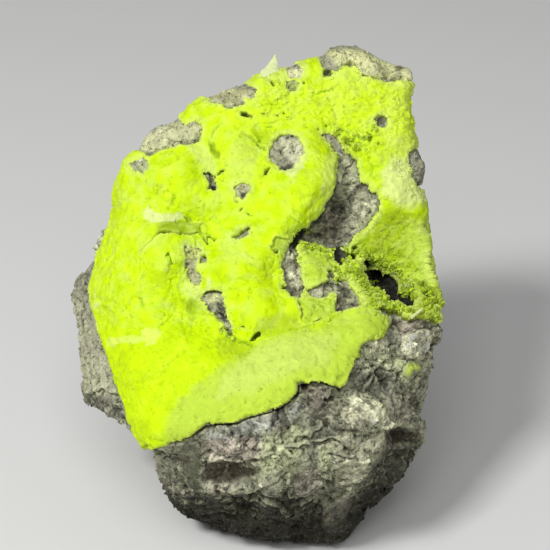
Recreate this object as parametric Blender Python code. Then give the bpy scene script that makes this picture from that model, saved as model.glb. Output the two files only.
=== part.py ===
"""Autunite specimen: a broken block of pale granite whose leaning front face carries a crust of autunite.

Run with: blender --background --python part.py

The front of the block is drawn on a square grid, CELL wide, counted right (column) and down (row) from
the grid's upper left corner, as seen from an eye point EYE_DISTANCE in front of the grid's middle. A third
number, out, is the height of a point above the grid's plane, towards the eye, in millimetres. The grid's
plane leans back by FACE_LEAN, so the block stands on the flat cut under its lower end.
"""

import math

import bmesh
import bpy
import numpy as np
from mathutils import Euler, Matrix, Vector, geometry, noise

# --- driving dimensions, in metres -------------------------------------------------------------------------
MM = 0.001
FACE_WIDTH = 64 * MM  # from the left shoulder to the right corner of the front
FACE_COLUMNS = 376  # grid cells across that width
CELL = FACE_WIDTH / FACE_COLUMNS
EYE_DISTANCE = 320 * MM
FACE_LEAN = math.radians(30)
GRID_MIDDLE = (275, 275)  # column and row
FACE_MIDDLE = Vector((3.2 * MM, -9.6 * MM, 51.4 * MM))  # where the grid's middle lies, over the footprint
FIT_GAP = 0.4 * MM  # between the block and what grows on it
CRUST_THICKNESS = 1.2 * MM
PATCH_THICKNESS = 0.6 * MM

FRONT_EDGE_ROUND = 15  # cells over which the front rolls over into the outline
BACK_EDGE_ROUND = 56  # cells over which the back rolls in from the outline
CRUST_SPACING = 12.5  # cells between mesh points under the crust
ROCK_SPACING = 15.5
BACK_SPACING = 27

UNEVENNESS = 0.35  # how far mesh points stray from their grid, as a share of its spacing
NOISE_SEED = 7  # of the directions in which mesh points stray and chips and tablets tilt
GRID_SHUFFLE = 0.37  # keeps neighbouring mesh points from straying alike
RING_CLEARANCE = 2.5  # the least distance between a ring's point and an outlined edge's
RING_SHARE = 0.8  # a ring's point is dropped where it lies nearer the outline than this share of its inset
LOOSE_SHARE = 0.6  # a grid's point is dropped where another lies nearer than this share of its spacing
MERGE_CELLS = 0.3  # points closer than this are one
CHIP_MARGIN = 12  # cells beside the crust over which the chips of the bare rock set in
CRUST_STEP_FADE = 40  # cells over which the rock beside the crust rises from under it

RIGHT = Vector((1, 0, 0))
UP = Vector((0, math.sin(FACE_LEAN), math.cos(FACE_LEAN)))
OUT = Vector((0, -math.cos(FACE_LEAN), math.sin(FACE_LEAN)))

noise.seed_set(NOISE_SEED)

# --- the outline of the block: column, row, out, clockwise from the upper left shoulder --------------------
OUTLINE = [
    (120, 162, -11), (127, 154, -11), (138, 147, -11), (151, 135, -11.5), (163, 123, -11.5),
    (174, 118, -11.5), (184, 107, -12), (194, 100, -12), (200, 96, -12), (222, 87, -12.5), (247, 79, -12.5),
    (262, 70, -13), (283, 66, -13), (303, 57, -13.5), (322, 56, -13.5), (331, 52, -14), (341, 50, -14),
    (361, 53, -14), (378, 64, -14), (398, 72, -14), (409, 73, -13.5), (416, 82, -13), (412, 100, -12.5),
    (413, 116, -12.5), (418, 136, -12.5), (421, 149, -12), (423, 168, -12), (424, 188, -12),
    (428, 204, -11.5), (430, 222, -11), (432, 241, -10), (437, 263, -9), (441, 290, -8), (446, 308, -7),
    (449, 322, -6.5), (446, 335, -7.5), (431, 357, -10), (429, 373, -11), (423, 393, -12), (417, 414, -14),
    (427, 426, -12), (423, 445, -13), (404, 480, -16), (381, 498, -17), (364, 510, -18), (357, 528, -18.5),
    (344, 542, -19), (332, 543, -19), (302, 539, -19), (272, 542, -18.5), (245, 537, -18), (210, 527, -17),
    (178, 508, -15), (160, 482, -10), (142, 451, -4), (133, 438, -4), (119, 421, -12), (100, 413, -16),
    (81, 403, -20), (79, 370, -20), (77, 335, -20), (73, 305, -20), (75, 289, -19), (84, 270, -18),
    (101, 240, -17), (108, 222, -16), (113, 205, -15), (111, 190, -14), (114, 176, -13),
]  # fmt: skip
RIM = np.array(OUTLINE, float)[:, :2]

# --- the form of the front: points that its surface passes through, column, row, out -----------------------
FRONT_FORM = {
    "left_shoulder": [(124, 200, -6.5), (134, 176, -6), (112, 245, -7.5), (128, 262, -3.5), (101, 275, -8),
                      (90, 300, -8.5), (105, 310, -5), (106, 345, -4), (122, 340, -1), (120, 380, -1.5),
                      (138, 390, 2.2), (129, 420, 0.5), (140, 432, 3.2), (150, 444, 4.6)],
    "left_side": [(84, 300, -14), (86, 330, -13), (92, 360, -12), (95, 392, -12.5), (108, 385, -7.5),
                  (112, 408, -7.5)],
    "top_roll": [(150, 155, -6.5), (180, 136, -7.5), (205, 118, -7), (232, 101, -7.6), (262, 92, -7.4),
                 (292, 78, -8.6), (315, 74, -8.8), (345, 66, -9.6), (372, 78, -9.8), (403, 84, -10.2)],
    "upper_plate": [(160, 180, -1.8), (185, 165, -3), (170, 205, -0.8), (212, 160, -4.6), (225, 140, -5),
                    (250, 130, -5.8), (236, 150, -3.6), (252, 168, -2.2), (262, 150, -4.6), (285, 130, -6.8),
                    (300, 115, -7.4), (310, 142, -3.6), (318, 175, -1.2), (296, 195, 0.4), (268, 205, 0.2),
                    (240, 212, -1.6), (215, 200, -2.6), (212, 185, -4.4), (325, 195, -1.8), (300, 225, 0),
                    (258, 235, 0.3)],
    "upper_right": [(345, 100, -8.2), (380, 100, -8.8), (400, 125, -8.6), (360, 130, -7.2), (335, 125, -7.6),
                    (385, 150, -7), (405, 170, -8.2), (375, 175, -6.4), (395, 200, -6.2), (415, 205, -7.8)],
    "window_floor": [(345, 165, -7.6), (352, 190, -8), (362, 205, -7.2), (335, 205, -7.6), (330, 228, -6.8),
                     (346, 222, -6.6), (314, 232, -5.4), (340, 246, -7)],
    "pocket": [(160, 222, -2.6), (180, 228, -4), (200, 234, -4.2), (212, 244, -3.2)],
    "horseshoe": [(148, 268, 1.2), (160, 250, 2.2), (182, 248, 1.6), (152, 292, 0.6), (176, 272, 1.4),
                  (196, 268, -0.8), (178, 304, -0.6), (192, 308, -0.8), (166, 320, 1.4)],
    "middle_plate": [(216, 262, 1.8), (240, 262, 2.6), (262, 262, 2), (250, 290, 4.2), (272, 290, 3.2),
                     (236, 308, 3.6), (268, 315, 4.6), (240, 330, 3.4), (220, 328, 0.6), (216, 306, -0.4),
                     (288, 322, 4.2), (258, 342, 3.2)],
    "crescent": [(288, 270, -1.4), (292, 292, 0.2), (312, 262, -1.2), (322, 272, -1), (306, 310, 2.6),
                 (322, 308, 1.2), (345, 298, -0.6), (330, 290, -1.4), (366, 296, -0.6), (348, 322, 2.6),
                 (368, 314, 1.4), (304, 326, 3.4)],
    "lower_slope": [(158, 345, 3), (175, 372, 4.4), (205, 352, 4.2), (168, 410, 5.4), (205, 392, 6.8),
                    (240, 372, 6.4), (230, 405, 8.2), (270, 355, 6.2), (265, 395, 9), (310, 350, 6.6),
                    (295, 382, 9), (345, 348, 5.6), (345, 378, 7.6), (376, 334, 4.2), (180, 438, 6.4),
                    (204, 422, 7.8)],
    "hollow": [(392, 226, -8.4), (415, 232, -9), (372, 238, -8), (395, 252, -9.4), (422, 262, -8.6),
               (366, 256, -7.4), (384, 272, -10.5), (404, 276, -10.2), (428, 290, -7.4), (356, 270, -4),
               (366, 282, -2.6), (384, 296, -3.4), (398, 308, -3.6), (418, 306, -4.6), (436, 312, -6)],
    "right_corner": [(400, 326, -1.6), (425, 326, -4), (438, 334, -6), (412, 348, -2.6), (388, 350, 1.6),
                     (424, 350, -6.5), (405, 375, -1.2), (378, 378, 2.6), (392, 398, 1.4), (418, 385, -7)],
    "lower_front": [(190, 452, 4.6), (225, 440, 8), (262, 436, 8.6), (232, 460, 7.4), (225, 473, 3.6),
                    (252, 474, 4.8), (268, 488, 5), (300, 430, 8.4), (335, 412, 7.4), (362, 410, 5.6),
                    (340, 440, 7.4), (312, 470, 5.6), (334, 488, -0.5), (355, 465, 4.4), (372, 446, 3.2),
                    (378, 470, -2.4), (392, 440, -5.5), (408, 452, -8.5), (402, 418, -3), (362, 490, -5.5),
                    (165, 468, -2.5), (180, 486, -3.4), (200, 478, 0.6), (205, 508, -8), (240, 505, -3.4),
                    (240, 522, -9.6), (280, 508, -2.6), (290, 526, -9.4), (320, 512, -5), (344, 522, -11)],
}  # fmt: skip

# --- where the crust lies on the front: outlines in columns and rows ---------------------------------------
CRUST_OUTLINE = [
    (133, 438), (129, 428), (127, 414), (123, 398), (118, 377), (112, 362), (106, 346), (99, 332), (95, 318),
    (89, 303), (86, 290), (89, 276), (96, 260), (101, 248), (104, 238), (108, 222), (60, 200), (60, 20),
    (480, 20), (480, 322), (449, 322), (443, 325), (437, 318), (428, 319), (419, 315), (411, 318),
    (405, 311), (398, 307), (389, 306), (379, 303), (378, 312), (388, 312), (394, 319), (392, 328),
    (387, 336), (379, 341), (371, 341), (363, 347), (362, 355), (356, 362), (352, 370), (351, 382),
    (344, 388), (332, 386), (321, 384), (312, 380), (307, 385), (299, 380), (298, 393), (290, 403),
    (276, 411), (258, 416), (245, 420), (228, 425), (207, 425), (198, 431), (189, 441), (175, 445),
    (160, 450), (150, 452), (142, 451), (132, 448),
]  # fmt: skip

# Windows through the crust: how far the rock in each lies under the specimen's outer surface, in millimetres,
# and its outline.
WINDOWS = {
    "left_rim": (0.3, [(138, 147), (148, 153), (158, 149), (172, 145), (186, 142), (192, 147), (198, 141),
                       (200, 133), (203, 126), (192, 128), (181, 130), (171, 127), (163, 123), (140, 110)]),
    "grey_streak": (0.3, [(200, 99.5), (214, 95), (232, 92), (253, 95), (252, 99), (240, 100), (236, 107),
                          (228, 107), (227, 102), (213, 101)]),
    "top_rim": (0.2, [(322, 56), (325, 70), (336, 69), (346, 64), (355, 64), (361, 72), (369, 77), (385, 78),
                      (403, 79), (409, 83), (416, 82), (430, 40), (330, 30)]),
    "right_rim": (0.5, [(421, 149), (413, 151), (409, 157), (413, 165), (415, 174), (418, 182), (424, 188),
                        (445, 170)]),
    "right_nick": (0.4, [(430, 222), (425, 227), (424, 236), (432, 241), (450, 232)]),
    "round_pit": (3.2, [(271, 155), (273, 147), (280, 142), (290, 140), (299, 145), (300, 156), (297, 166),
                        (291, 172), (281, 172), (274, 166)]),
    "upper_slot": (1.6, [(204, 174), (212, 175), (215, 184), (218, 190), (213, 193), (209, 190), (209, 182)]),
    "speckle_pit": (1.4, [(237, 189), (244, 187), (249, 191), (246, 198), (239, 198)]),
    "bean_hole": (1.8, [(236, 237), (243, 235), (250, 230), (249, 237), (243, 242)]),
    "long_slot": (1.4, [(179, 251), (188, 250), (198, 252), (195, 262), (196, 270), (203, 276), (202, 283),
                        (196, 283), (190, 271), (185, 261)]),
    "deep_slot": (2.4, [(205, 296), (214, 290), (221, 294), (222, 303), (228, 313), (231, 326), (234, 334),
                        (229, 338), (223, 328), (215, 318), (208, 307)]),
    "wide_window": (1.6, [(338, 148), (346, 153), (354, 158), (363, 166), (362, 178), (369, 187), (379, 203),
                          (376, 213), (366, 223), (352, 233), (346, 242), (346, 262), (341, 271), (335, 267),
                          (331, 255), (333, 247), (319, 246), (305, 239), (298, 242), (293, 250), (288, 248),
                          (292, 240), (304, 232), (314, 216), (325, 203), (331, 190), (333, 172)]),
    "strip_window": (1.6, [(282, 260), (290, 254), (294, 263), (301, 268), (300, 280), (303, 292), (300, 299),
                           (292, 302), (285, 294), (281, 280)]),
    "hook_window": (1.6, [(309, 292), (317, 288), (326, 283), (338, 283), (349, 286), (355, 298), (360, 307),
                          (348, 314), (336, 315), (336, 304), (333, 296), (322, 300), (311, 299)]),
    "cavity": (6.5, [(351, 252), (360, 256), (370, 264), (381, 270), (392, 277), (401, 287), (411, 295),
                     (414, 305), (407, 304), (399, 297), (390, 299), (386, 289), (377, 284), (368, 279),
                     (369, 272), (359, 264), (351, 260)]),
    "eye_hole": (1.8, [(242, 116), (247, 113), (254, 118), (249, 121), (243, 120)]),
}  # fmt: skip

LOWER_PATCH_OUTLINE = [
    (403, 366), (410, 360), (418, 361), (421, 366), (418, 373), (411, 374), (406, 380), (403, 374),
]  # fmt: skip

# How far the crust laps over the outline onto the sides: first and last outline corner, and rings taken in.
WRAPS = [((108, 222), (138, 147), 3), ((163, 123), (322, 56), 2), ((416, 82), (421, 149), 3),
         ((424, 188), (430, 222), 3), ((432, 241), (446, 308), 2)]  # fmt: skip

# Rings of mesh points inside the outline, in cells from it.
FRONT_RINGS = (1.4, 5, 10)
BACK_RINGS = (0.7, 2.8, 7.5, 16, 30)

# --- the flat breaks of the back: a point on each and its outward direction, in millimetres -----------------
# Points are measured from the grid's middle, sideways, backwards and upwards.
BACK_BREAKS = {
    "back": ((0, 40, -6), (0.08, 1, -0.1)),
    "back_top": ((0, 40, 22), (-0.05, 0.68, 0.73)),
    "back_left": ((-20, 36, 0), (-0.62, 0.78, 0.02)),
    "back_right": ((21, 35, -5), (0.66, 0.74, -0.1)),
    "back_low": ((0, 39, -30), (0.05, 0.86, -0.5)),
    "left_low": ((-24, 20, -40), (-0.72, 0.1, -0.68)),
    "right_low": ((17, 20, -42), (0.9, 0.16, -0.4)),
}
BREAK_BLEND = 1.6  # millimetres over which two breaks round into each other

# Facets broken into the bare rock: mean size in millimetres and how steeply they tilt, coarse and fine.
CHIPS = ((9.0, 0.20), (4.2, 0.24))
CHIP_SHUFFLE = 7.3  # keeps neighbouring facets from tilting alike

# Tablet crystals that stand around the cavity: column, row, out above the crust in millimetres, size.
CAVITY_CRYSTALS = [
    (350, 246, 0.3, 1.5), (358, 250, 0.2, 1.2), (366, 257, 0.3, 1.6), (376, 262, 0.2, 1.3),
    (386, 267, 0.3, 1.6), (397, 273, 0.3, 1.4), (407, 283, 0.3, 1.7), (417, 291, 0.3, 1.5),
    (420, 301, 0.2, 1.3), (430, 312, 0.2, 1.2), (433, 303, 0.3, 1.4), (440, 314, 0.2, 1.3),
    (347, 262, 0.2, 1.4), (354, 268, 0.3, 1.7), (361, 274, 0.2, 1.5), (363, 285, 0.3, 1.7),
    (372, 290, 0.3, 1.5), (381, 296, 0.2, 1.3), (356, 279, 0.2, 1.3), (343, 274, 0.2, 1.3),
    (370, 300, 0.2, 1.2), (326, 252, 0.2, 1.4), (314, 249, 0.2, 1.3), (393, 303, 0.1, 1.1),
    (430, 281, 0.2, 1.3), (404, 308, 0.1, 1.2),
]  # fmt: skip
TABLET_FLATNESS = 0.42  # a tablet's thickness over its width

TABLET_TURN = (0.31, 0.27, 1.7)  # sets how each tablet is turned, from its column and row

# Slim crystals: root and tip cells, how far above the crust in millimetres, and the width and thickness of
# the root and of the tip, in millimetres.
SPLINTERS = {
    "rim_crystal": ((272.5, 64.6), (275, 55), 0, (2.1, 1.2), (0.5, 0.4)),
    "lath_crystal": ((411, 318), (423, 308), 0.7, (0.6, 0.4), (0.5, 0.35)),
}
SPLINTER_FACES = ((3, 2, 1, 0), (4, 5, 6, 7), (0, 1, 5, 4), (1, 2, 6, 5), (2, 3, 7, 6), (3, 0, 4, 7))

COLOURS = {  # linear base colour, roughness
    "host_rock": ((0.36, 0.35, 0.27), 0.85),
    "autunite": ((0.69, 0.97, 0.01), 0.55),
    "pale_crystal": ((0.70, 0.76, 0.50), 0.35),
}


# --- small geometry helpers --------------------------------------------------------------------------------
def sight_lines(cells):
    """For grid cells (n, 2): each sight line's point at out 0, and its step for each metre of out."""
    across = (cells[:, 0] - GRID_MIDDLE[0]) * CELL
    up = (GRID_MIDDLE[1] - cells[:, 1]) * CELL
    flat = across[:, None] * np.array(RIGHT) + up[:, None] * np.array(UP)
    return np.array(FACE_MIDDLE) + flat, np.array(OUT) - flat / EYE_DISTANCE


def place(cells, outs):
    """Points in space for grid cells (n, 2) with outs in millimetres."""
    start, step = sight_lines(np.asarray(cells, float))
    return start + step * (np.asarray(outs, float) * MM)[:, None]


def edge_distance(cells, loop):
    """How far each cell lies inside a closed loop, in cells, negative outside it."""
    loop = np.asarray(loop, float)[:, :2]
    ends = np.roll(loop, -1, axis=0)
    nearest = np.full(len(cells), np.inf)
    inside = np.zeros(len(cells), bool)
    for start, end in zip(loop, ends):
        side = end - start
        along = np.clip((cells - start) @ side / (side @ side), 0, 1)
        gap = np.linalg.norm(cells - start - along[:, None] * side, axis=1)
        nearest = np.minimum(nearest, gap)
        crosses = (start[1] > cells[:, 1]) != (end[1] > cells[:, 1])
        if start[1] != end[1]:
            meets = start[0] + (cells[:, 1] - start[1]) * side[0] / side[1]
            inside ^= crosses & (cells[:, 0] < meets)
    return np.where(inside, nearest, -nearest)


def thin_plate(knots):
    """A smooth surface out(cells) that passes through knots of column, row and out."""
    knots = np.asarray(knots, float)
    places, outs = knots[:, :2] / 100, knots[:, 2]

    def kernel(a, b):
        square = ((a[:, None] - b[None]) ** 2).sum(2)
        return square * np.log(square + 1e-12)

    flat = np.column_stack([np.ones(len(places)), places])
    system = np.block([[kernel(places, places), flat], [flat.T, np.zeros((3, 3))]])
    weights = np.linalg.solve(system, np.append(outs, [0, 0, 0]))

    def surface(cells):
        at = cells / 100
        return np.column_stack([kernel(at, places), np.ones(len(at)), at]) @ weights

    return surface


def roll_over(depth, width):
    """A quarter round: 0 on the outline, 1 from width inwards."""
    return np.sqrt(1 - (1 - np.clip(depth / width, 0, 1)) ** 2)


def smooth_largest(values, blend):
    """The largest value of each column, rounded over where others come within blend of it."""
    values = np.asarray(values)
    top = values.max(axis=0)
    return top + blend * np.log(np.exp((values - top) / blend).sum(axis=0))


def chipped(points, size, tilt):
    """Flat chips about size across, each tilted its own way: the offset at each point, in millimetres."""
    offsets = []
    for point in points:
        at = (Vector(point) - FACE_MIDDLE) / (size * MM)
        middle = noise.voronoi(at)[1][0]
        lean = noise.noise_vector(middle * CHIP_SHUFFLE).normalized()
        offsets.append((at - middle).dot(lean) * size * tilt)
    return np.array(offsets)


# --- cells of the two sheets, front and back, which meet along the outline ---------------------------------
def spread(spacing, margin, seed):
    """Cells on an uneven triangular grid inside the outline, none within margin of it."""
    low = RIM.min(axis=0)
    high = RIM.max(axis=0)
    row_step = spacing * math.sqrt(3) / 2
    cells = []
    for line in range(int((high[1] - low[1]) / row_step) + 1):
        for step in range(int((high[0] - low[0]) / spacing) + 1):
            cell = Vector((low[0] + spacing * (step + line % 2 / 2), low[1] + row_step * line, seed))
            shift = noise.noise_vector(cell * GRID_SHUFFLE) * spacing * UNEVENNESS
            cells.append((cell.x + shift.x, cell.y + shift.y))
    cells = np.array(cells)
    return cells[edge_distance(cells, RIM) > margin]


def inner_rings(insets):
    """Cells beside the outline's corners, at each inset."""
    before = RIM - np.roll(RIM, 1, axis=0)
    after = np.roll(RIM, -1, axis=0) - RIM
    along = before / np.linalg.norm(before, axis=1)[:, None] + after / np.linalg.norm(after, axis=1)[:, None]
    inward = np.column_stack([-along[:, 1], along[:, 0]]) / np.linalg.norm(along, axis=1)[:, None]
    rings = []
    for inset in insets:
        ring = RIM + inward * inset
        rings.append(ring[edge_distance(ring, RIM) > inset * RING_SHARE])
    return np.concatenate(rings)


def subdivided(loop, longest):
    """A closed loop's cells, with more between those that lie over the longest step apart."""
    loop = [np.array(cell, float) for cell in loop]
    cells = []
    for start, end in zip(loop, loop[1:] + loop[:1]):
        steps = max(1, math.ceil(np.linalg.norm(end - start) / longest))
        cells += [start + (end - start) * step / steps for step in range(steps)]
    return np.array(cells)


def apart(cells, others, spacing):
    """The cells that keep the spacing from each other and from the others."""
    kept = list(others)
    for cell in cells:
        if np.hypot(*(np.array(kept) - cell).T).min() > spacing:
            kept.append(cell)
    return np.array(kept[len(others):]).reshape(-1, 2)


def sheet(lines, loose):
    """Triangles over the area inside the outline: its corners come first, and edges run along the lines."""
    points = list(RIM)
    edges = [(index, (index + 1) % len(RIM)) for index in range(len(RIM))]
    for line in lines:
        first = len(points)
        inside = edge_distance(line, RIM) > -MERGE_CELLS
        points += list(line)
        for index in range(len(line)):
            following = (index + 1) % len(line)
            if inside[index] and inside[following]:
                edges.append((first + index, first + following))
    points += list(loose)
    found = geometry.delaunay_2d_cdt([Vector(point) for point in points], edges, [], 0, MERGE_CELLS)
    cells = np.array([tuple(cell) for cell in found[0]])
    faces = np.array([tuple(face) for face in found[2]])
    faces = faces[edge_distance(cells[faces].mean(axis=1), RIM) > 0]
    used = np.unique(np.concatenate([np.arange(len(RIM)), faces.reshape(-1)]))
    renumbered = np.full(len(cells), -1)
    renumbered[used] = np.arange(len(used))
    return cells[used], renumbered[faces]


def rim_height(cells):
    """The outline's out beside each cell."""
    square = ((cells[:, None] - RIM[None]) ** 2).sum(axis=2) + 1e-6
    weights = square**-2
    return weights @ np.array([corner[2] for corner in OUTLINE]) / weights.sum(axis=1)


def front_height(cells):
    """How far out the outer surface of the front lies, in millimetres."""
    form = thin_plate([knot for knots in FRONT_FORM.values() for knot in knots])
    rim = rim_height(cells)
    return rim + (form(cells) - rim) * roll_over(edge_distance(cells, RIM), FRONT_EDGE_ROUND)


def back_height(cells):
    """How far out the back lies, in millimetres."""
    start, step = sight_lines(cells)
    reach = []
    for middle, direction in BACK_BREAKS.values():
        outward = np.array(Vector(direction).normalized())
        origin = np.array(FACE_MIDDLE) + np.array(middle) * MM
        reach.append((origin - start) @ outward / (step @ outward) / MM)
    depth = edge_distance(cells, RIM)
    back = smooth_largest(reach, BREAK_BLEND)
    for size, tilt in CHIPS:
        back += chipped(place(cells, back), size, tilt)
    rim = rim_height(cells)
    return rim + (back - rim) * roll_over(depth, BACK_EDGE_ROUND)


def front_sheet():
    """The front's cells and triangles, with edges along all that is outlined on it."""
    windows = [np.array(loop, float) for _, loop in WINDOWS.values()]
    loops = [CRUST_OUTLINE, LOWER_PATCH_OUTLINE, *windows]
    lines = [subdivided(loop, CRUST_SPACING) for loop in loops]
    fixed = np.concatenate([RIM, *lines])
    rings = apart(inner_rings(FRONT_RINGS), fixed, RING_CLEARANCE)
    middles = apart([loop.mean(axis=0) for loop in windows], fixed, RING_CLEARANCE)
    fixed = np.concatenate([fixed, rings, middles])
    fine = spread(CRUST_SPACING, FRONT_EDGE_ROUND, 1)
    coarse = spread(ROCK_SPACING, FRONT_EDGE_ROUND, 2)
    fine = fine[edge_distance(fine, CRUST_OUTLINE) > 0]
    coarse = coarse[edge_distance(coarse, CRUST_OUTLINE) < 0]
    loose = apart(np.concatenate([fine, coarse]), fixed, CRUST_SPACING * LOOSE_SHARE)
    return sheet(lines, np.concatenate([rings, middles, loose]))


def back_sheet():
    """The back's cells and triangles."""
    rings = inner_rings(BACK_RINGS)
    loose = spread(BACK_SPACING, max(BACK_RINGS) + BACK_SPACING / 3, 3)
    loose = apart(loose, rings, BACK_SPACING * LOOSE_SHARE)
    return sheet([], np.concatenate([rings, loose]))


# --- the form: the specimen's outer surface, with what covers each triangle --------------------------------
class Form:
    """The closed outer surface: cells, points, normals, triangles, and which triangles the crust covers."""

    def __init__(self):
        front_cells, front_faces = front_sheet()
        back_cells, back_faces = back_sheet()
        moved = len(front_cells) - len(RIM)
        back_faces = np.where(back_faces < len(RIM), back_faces, back_faces + moved)
        self.cells = np.concatenate([front_cells, back_cells[len(RIM):]])
        self.front_count = len(front_cells)
        outs = np.concatenate([front_height(front_cells), back_height(back_cells[len(RIM):])])
        self.points = place(self.cells, outs)
        self.faces = np.concatenate([front_faces[:, ::-1], back_faces])
        self.depth = edge_distance(self.cells, RIM)
        self.normals = self.vertex_normals()
        self.on_front = np.arange(len(self.faces)) < len(front_faces)
        middles = self.cells[self.faces].mean(axis=1)
        covered = edge_distance(middles, CRUST_OUTLINE) > 0
        for _, loop in WINDOWS.values():
            covered &= edge_distance(middles, loop) < 0
        wrapped = self.in_wrap()[self.faces].all(axis=1)
        self.crusted = np.where(self.on_front, covered, wrapped)
        self.patched = self.on_front & (edge_distance(middles, LOWER_PATCH_OUTLINE) > 0)

    def vertex_normals(self):
        corners = self.points[self.faces]
        flat = np.cross(corners[:, 1] - corners[:, 0], corners[:, 2] - corners[:, 0])
        normals = np.zeros_like(self.points)
        for corner in range(3):
            np.add.at(normals, self.faces[:, corner], flat)
        return normals / np.linalg.norm(normals, axis=1)[:, None]

    def in_wrap(self):
        """Which points lie on the strips of the sides and back that the crust laps over."""
        square = ((self.cells[:, None] - RIM[None]) ** 2).sum(axis=2)
        nearest = square.argmin(axis=1)
        corners = [corner[:2] for corner in OUTLINE]
        inside = np.zeros(len(self.cells), bool)
        for first, last, rings in WRAPS:
            begin = corners.index(first)
            length = (corners.index(last) - begin) % len(RIM)
            along = (nearest - begin) % len(RIM) <= length
            inside |= along & (self.depth < BACK_RINGS[rings - 1] + MERGE_CELLS)
        inside[len(RIM):self.front_count] = False
        return inside

    def touched_by(self, triangles):
        """Which points are corners of these triangles."""
        touched = np.zeros(len(self.points), bool)
        touched[self.faces[triangles].reshape(-1)] = True
        return touched


def room_for_crust(form):
    """How much of the crust's thickness each point leaves room for: 1 under the crust, 0 away from it."""
    under = form.touched_by(form.crusted)
    beside = np.clip(1 + edge_distance(form.cells, CRUST_OUTLINE) / CRUST_STEP_FADE, 0, 1)
    square = ((form.cells[:, None] - RIM[None]) ** 2).sum(axis=2) + 1e-6
    weights = square**-2
    at_rim = weights @ under[:len(RIM)].astype(float) / weights.sum(axis=1)
    behind = at_rim * np.clip(1 - form.depth / CRUST_STEP_FADE, 0, 1)
    on_front = np.arange(len(form.cells)) < form.front_count
    room = np.where(on_front, beside, behind)
    room[:len(RIM)] = np.minimum(beside, at_rim)[:len(RIM)]
    room[under] = 1
    return room


def rock_points(form):
    """The block's surface: it leaves room for the crust, and beside the crust it rises to the form."""
    on_front = np.arange(len(form.cells)) < form.front_count
    under = form.touched_by(form.crusted)
    room = room_for_crust(form)
    sunk = np.zeros(len(form.cells))
    for floor, loop in WINDOWS.values():
        in_window = (edge_distance(form.cells, loop) > -MERGE_CELLS) & on_front & ~under
        sunk[in_window] = floor
        room[in_window] = 0
    points = form.points - form.normals * ((CRUST_THICKNESS + FIT_GAP) * room)[:, None]
    chips = sum(chipped(form.points, size, tilt) for size, tilt in CHIPS)
    away = -edge_distance(form.cells, CRUST_OUTLINE) / CHIP_MARGIN
    held = np.clip(away, 0, 1) * np.clip(form.depth / FRONT_EDGE_ROUND, 0, 1)
    offset = np.where(on_front, chips * held, 0) - sunk
    _, step = sight_lines(form.cells)
    return points + step * (offset * MM)[:, None]


def cut_flat(mesh):
    """Cuts the mesh off at the ground and closes the cut."""
    cut = bmesh.new()
    cut.from_mesh(mesh)
    everything = cut.verts[:] + cut.edges[:] + cut.faces[:]
    bmesh.ops.bisect_plane(cut, geom=everything, dist=1e-6, plane_co=(0, 0, 0), plane_no=(0, 0, 1),
                           clear_inner=True)
    rim = [edge for edge in cut.edges if edge.is_boundary]
    filled = bmesh.ops.holes_fill(cut, edges=rim, sides=0)["faces"]
    bmesh.ops.triangulate(cut, faces=filled)
    cut.to_mesh(mesh)
    cut.free()


def plate(name, form, triangles, outer, inner, colour):
    """A solid between two copies of some of the form's triangles."""
    faces = form.faces[triangles]
    used = np.unique(faces)
    renumbered = np.full(len(form.points), -1)
    renumbered[used] = np.arange(len(used))
    faces = renumbered[faces]
    edges = {}
    for a, b, c in faces:
        for edge in ((a, b), (b, c), (c, a)):
            edges[edge] = True
    walls = []
    for a, b in edges:
        if (b, a) not in edges:
            walls.append((b, a, a + len(used)))
            walls.append((b, a + len(used), b + len(used)))
    points = np.concatenate([outer[used], inner[used]])
    return mesh_object(name, points, [*faces, *(faces[:, ::-1] + len(used)), *walls], colour)


# --- the pieces --------------------------------------------------------------------------------------------
def material(name):
    """A Principled BSDF of this name's colour and roughness."""
    made = bpy.data.materials.get(name)
    if made is None:
        colour, roughness = COLOURS[name]
        made = bpy.data.materials.new(name)
        made.use_nodes = True
        shader = made.node_tree.nodes["Principled BSDF"]
        shader.inputs["Base Color"].default_value = (*colour, 1)
        shader.inputs["Roughness"].default_value = roughness
    return made


def mesh_object(name, points, faces, colour):
    """An object of this name, made of points and faces."""
    mesh = bpy.data.meshes.new(name)
    mesh.from_pydata([tuple(point) for point in points], [], [tuple(map(int, face)) for face in faces])
    mesh.materials.append(material(colour))
    made = bpy.data.objects.new(name, mesh)
    bpy.context.scene.collection.objects.link(made)
    return made


def add_rock(form):
    rock = mesh_object("rock_matrix", rock_points(form), form.faces, "host_rock")
    cut_flat(rock.data)
    return rock


def tablet_mesh():
    """All the cavity's tablets as closed boxes in one mesh."""
    boxes = bmesh.new()
    for column, row, above, size in CAVITY_CRYSTALS:
        cell = np.array([[column, row]], float)
        middle = Vector(place(cell, front_height(cell) + above)[0])
        key = Vector((column * TABLET_TURN[0], row * TABLET_TURN[1], TABLET_TURN[2]))
        turn = noise.noise_vector(key) * math.pi
        size_matrix = Matrix.Diagonal((size * MM, size * MM, size * TABLET_FLATNESS * MM, 1))
        matrix = Matrix.Translation(middle) @ Euler(turn).to_matrix().to_4x4() @ size_matrix
        bmesh.ops.create_cube(boxes, size=1, matrix=matrix)
    mesh = bpy.data.meshes.new("tablets")
    boxes.to_mesh(mesh)
    boxes.free()
    return mesh


def add_crust(form):
    inner = form.points - form.normals * CRUST_THICKNESS
    crust = plate("autunite_crust", form, form.crusted, form.points, inner, "autunite")
    tablets = bpy.data.objects.new("tablets", tablet_mesh())
    tablets.hide_render = True
    tablets.display_type = "WIRE"
    bpy.context.scene.collection.objects.link(tablets)
    join = crust.modifiers.new("tablets", "BOOLEAN")
    join.operation = "UNION"
    join.solver = "EXACT"
    join.use_self = True
    join.object = tablets
    return crust


def add_lower_patch(form, rock_surface):
    inner = rock_surface + form.normals * FIT_GAP
    outer = rock_surface + form.normals * (FIT_GAP + PATCH_THICKNESS)
    return plate("autunite_patch", form, form.patched, outer, inner, "autunite")


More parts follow.
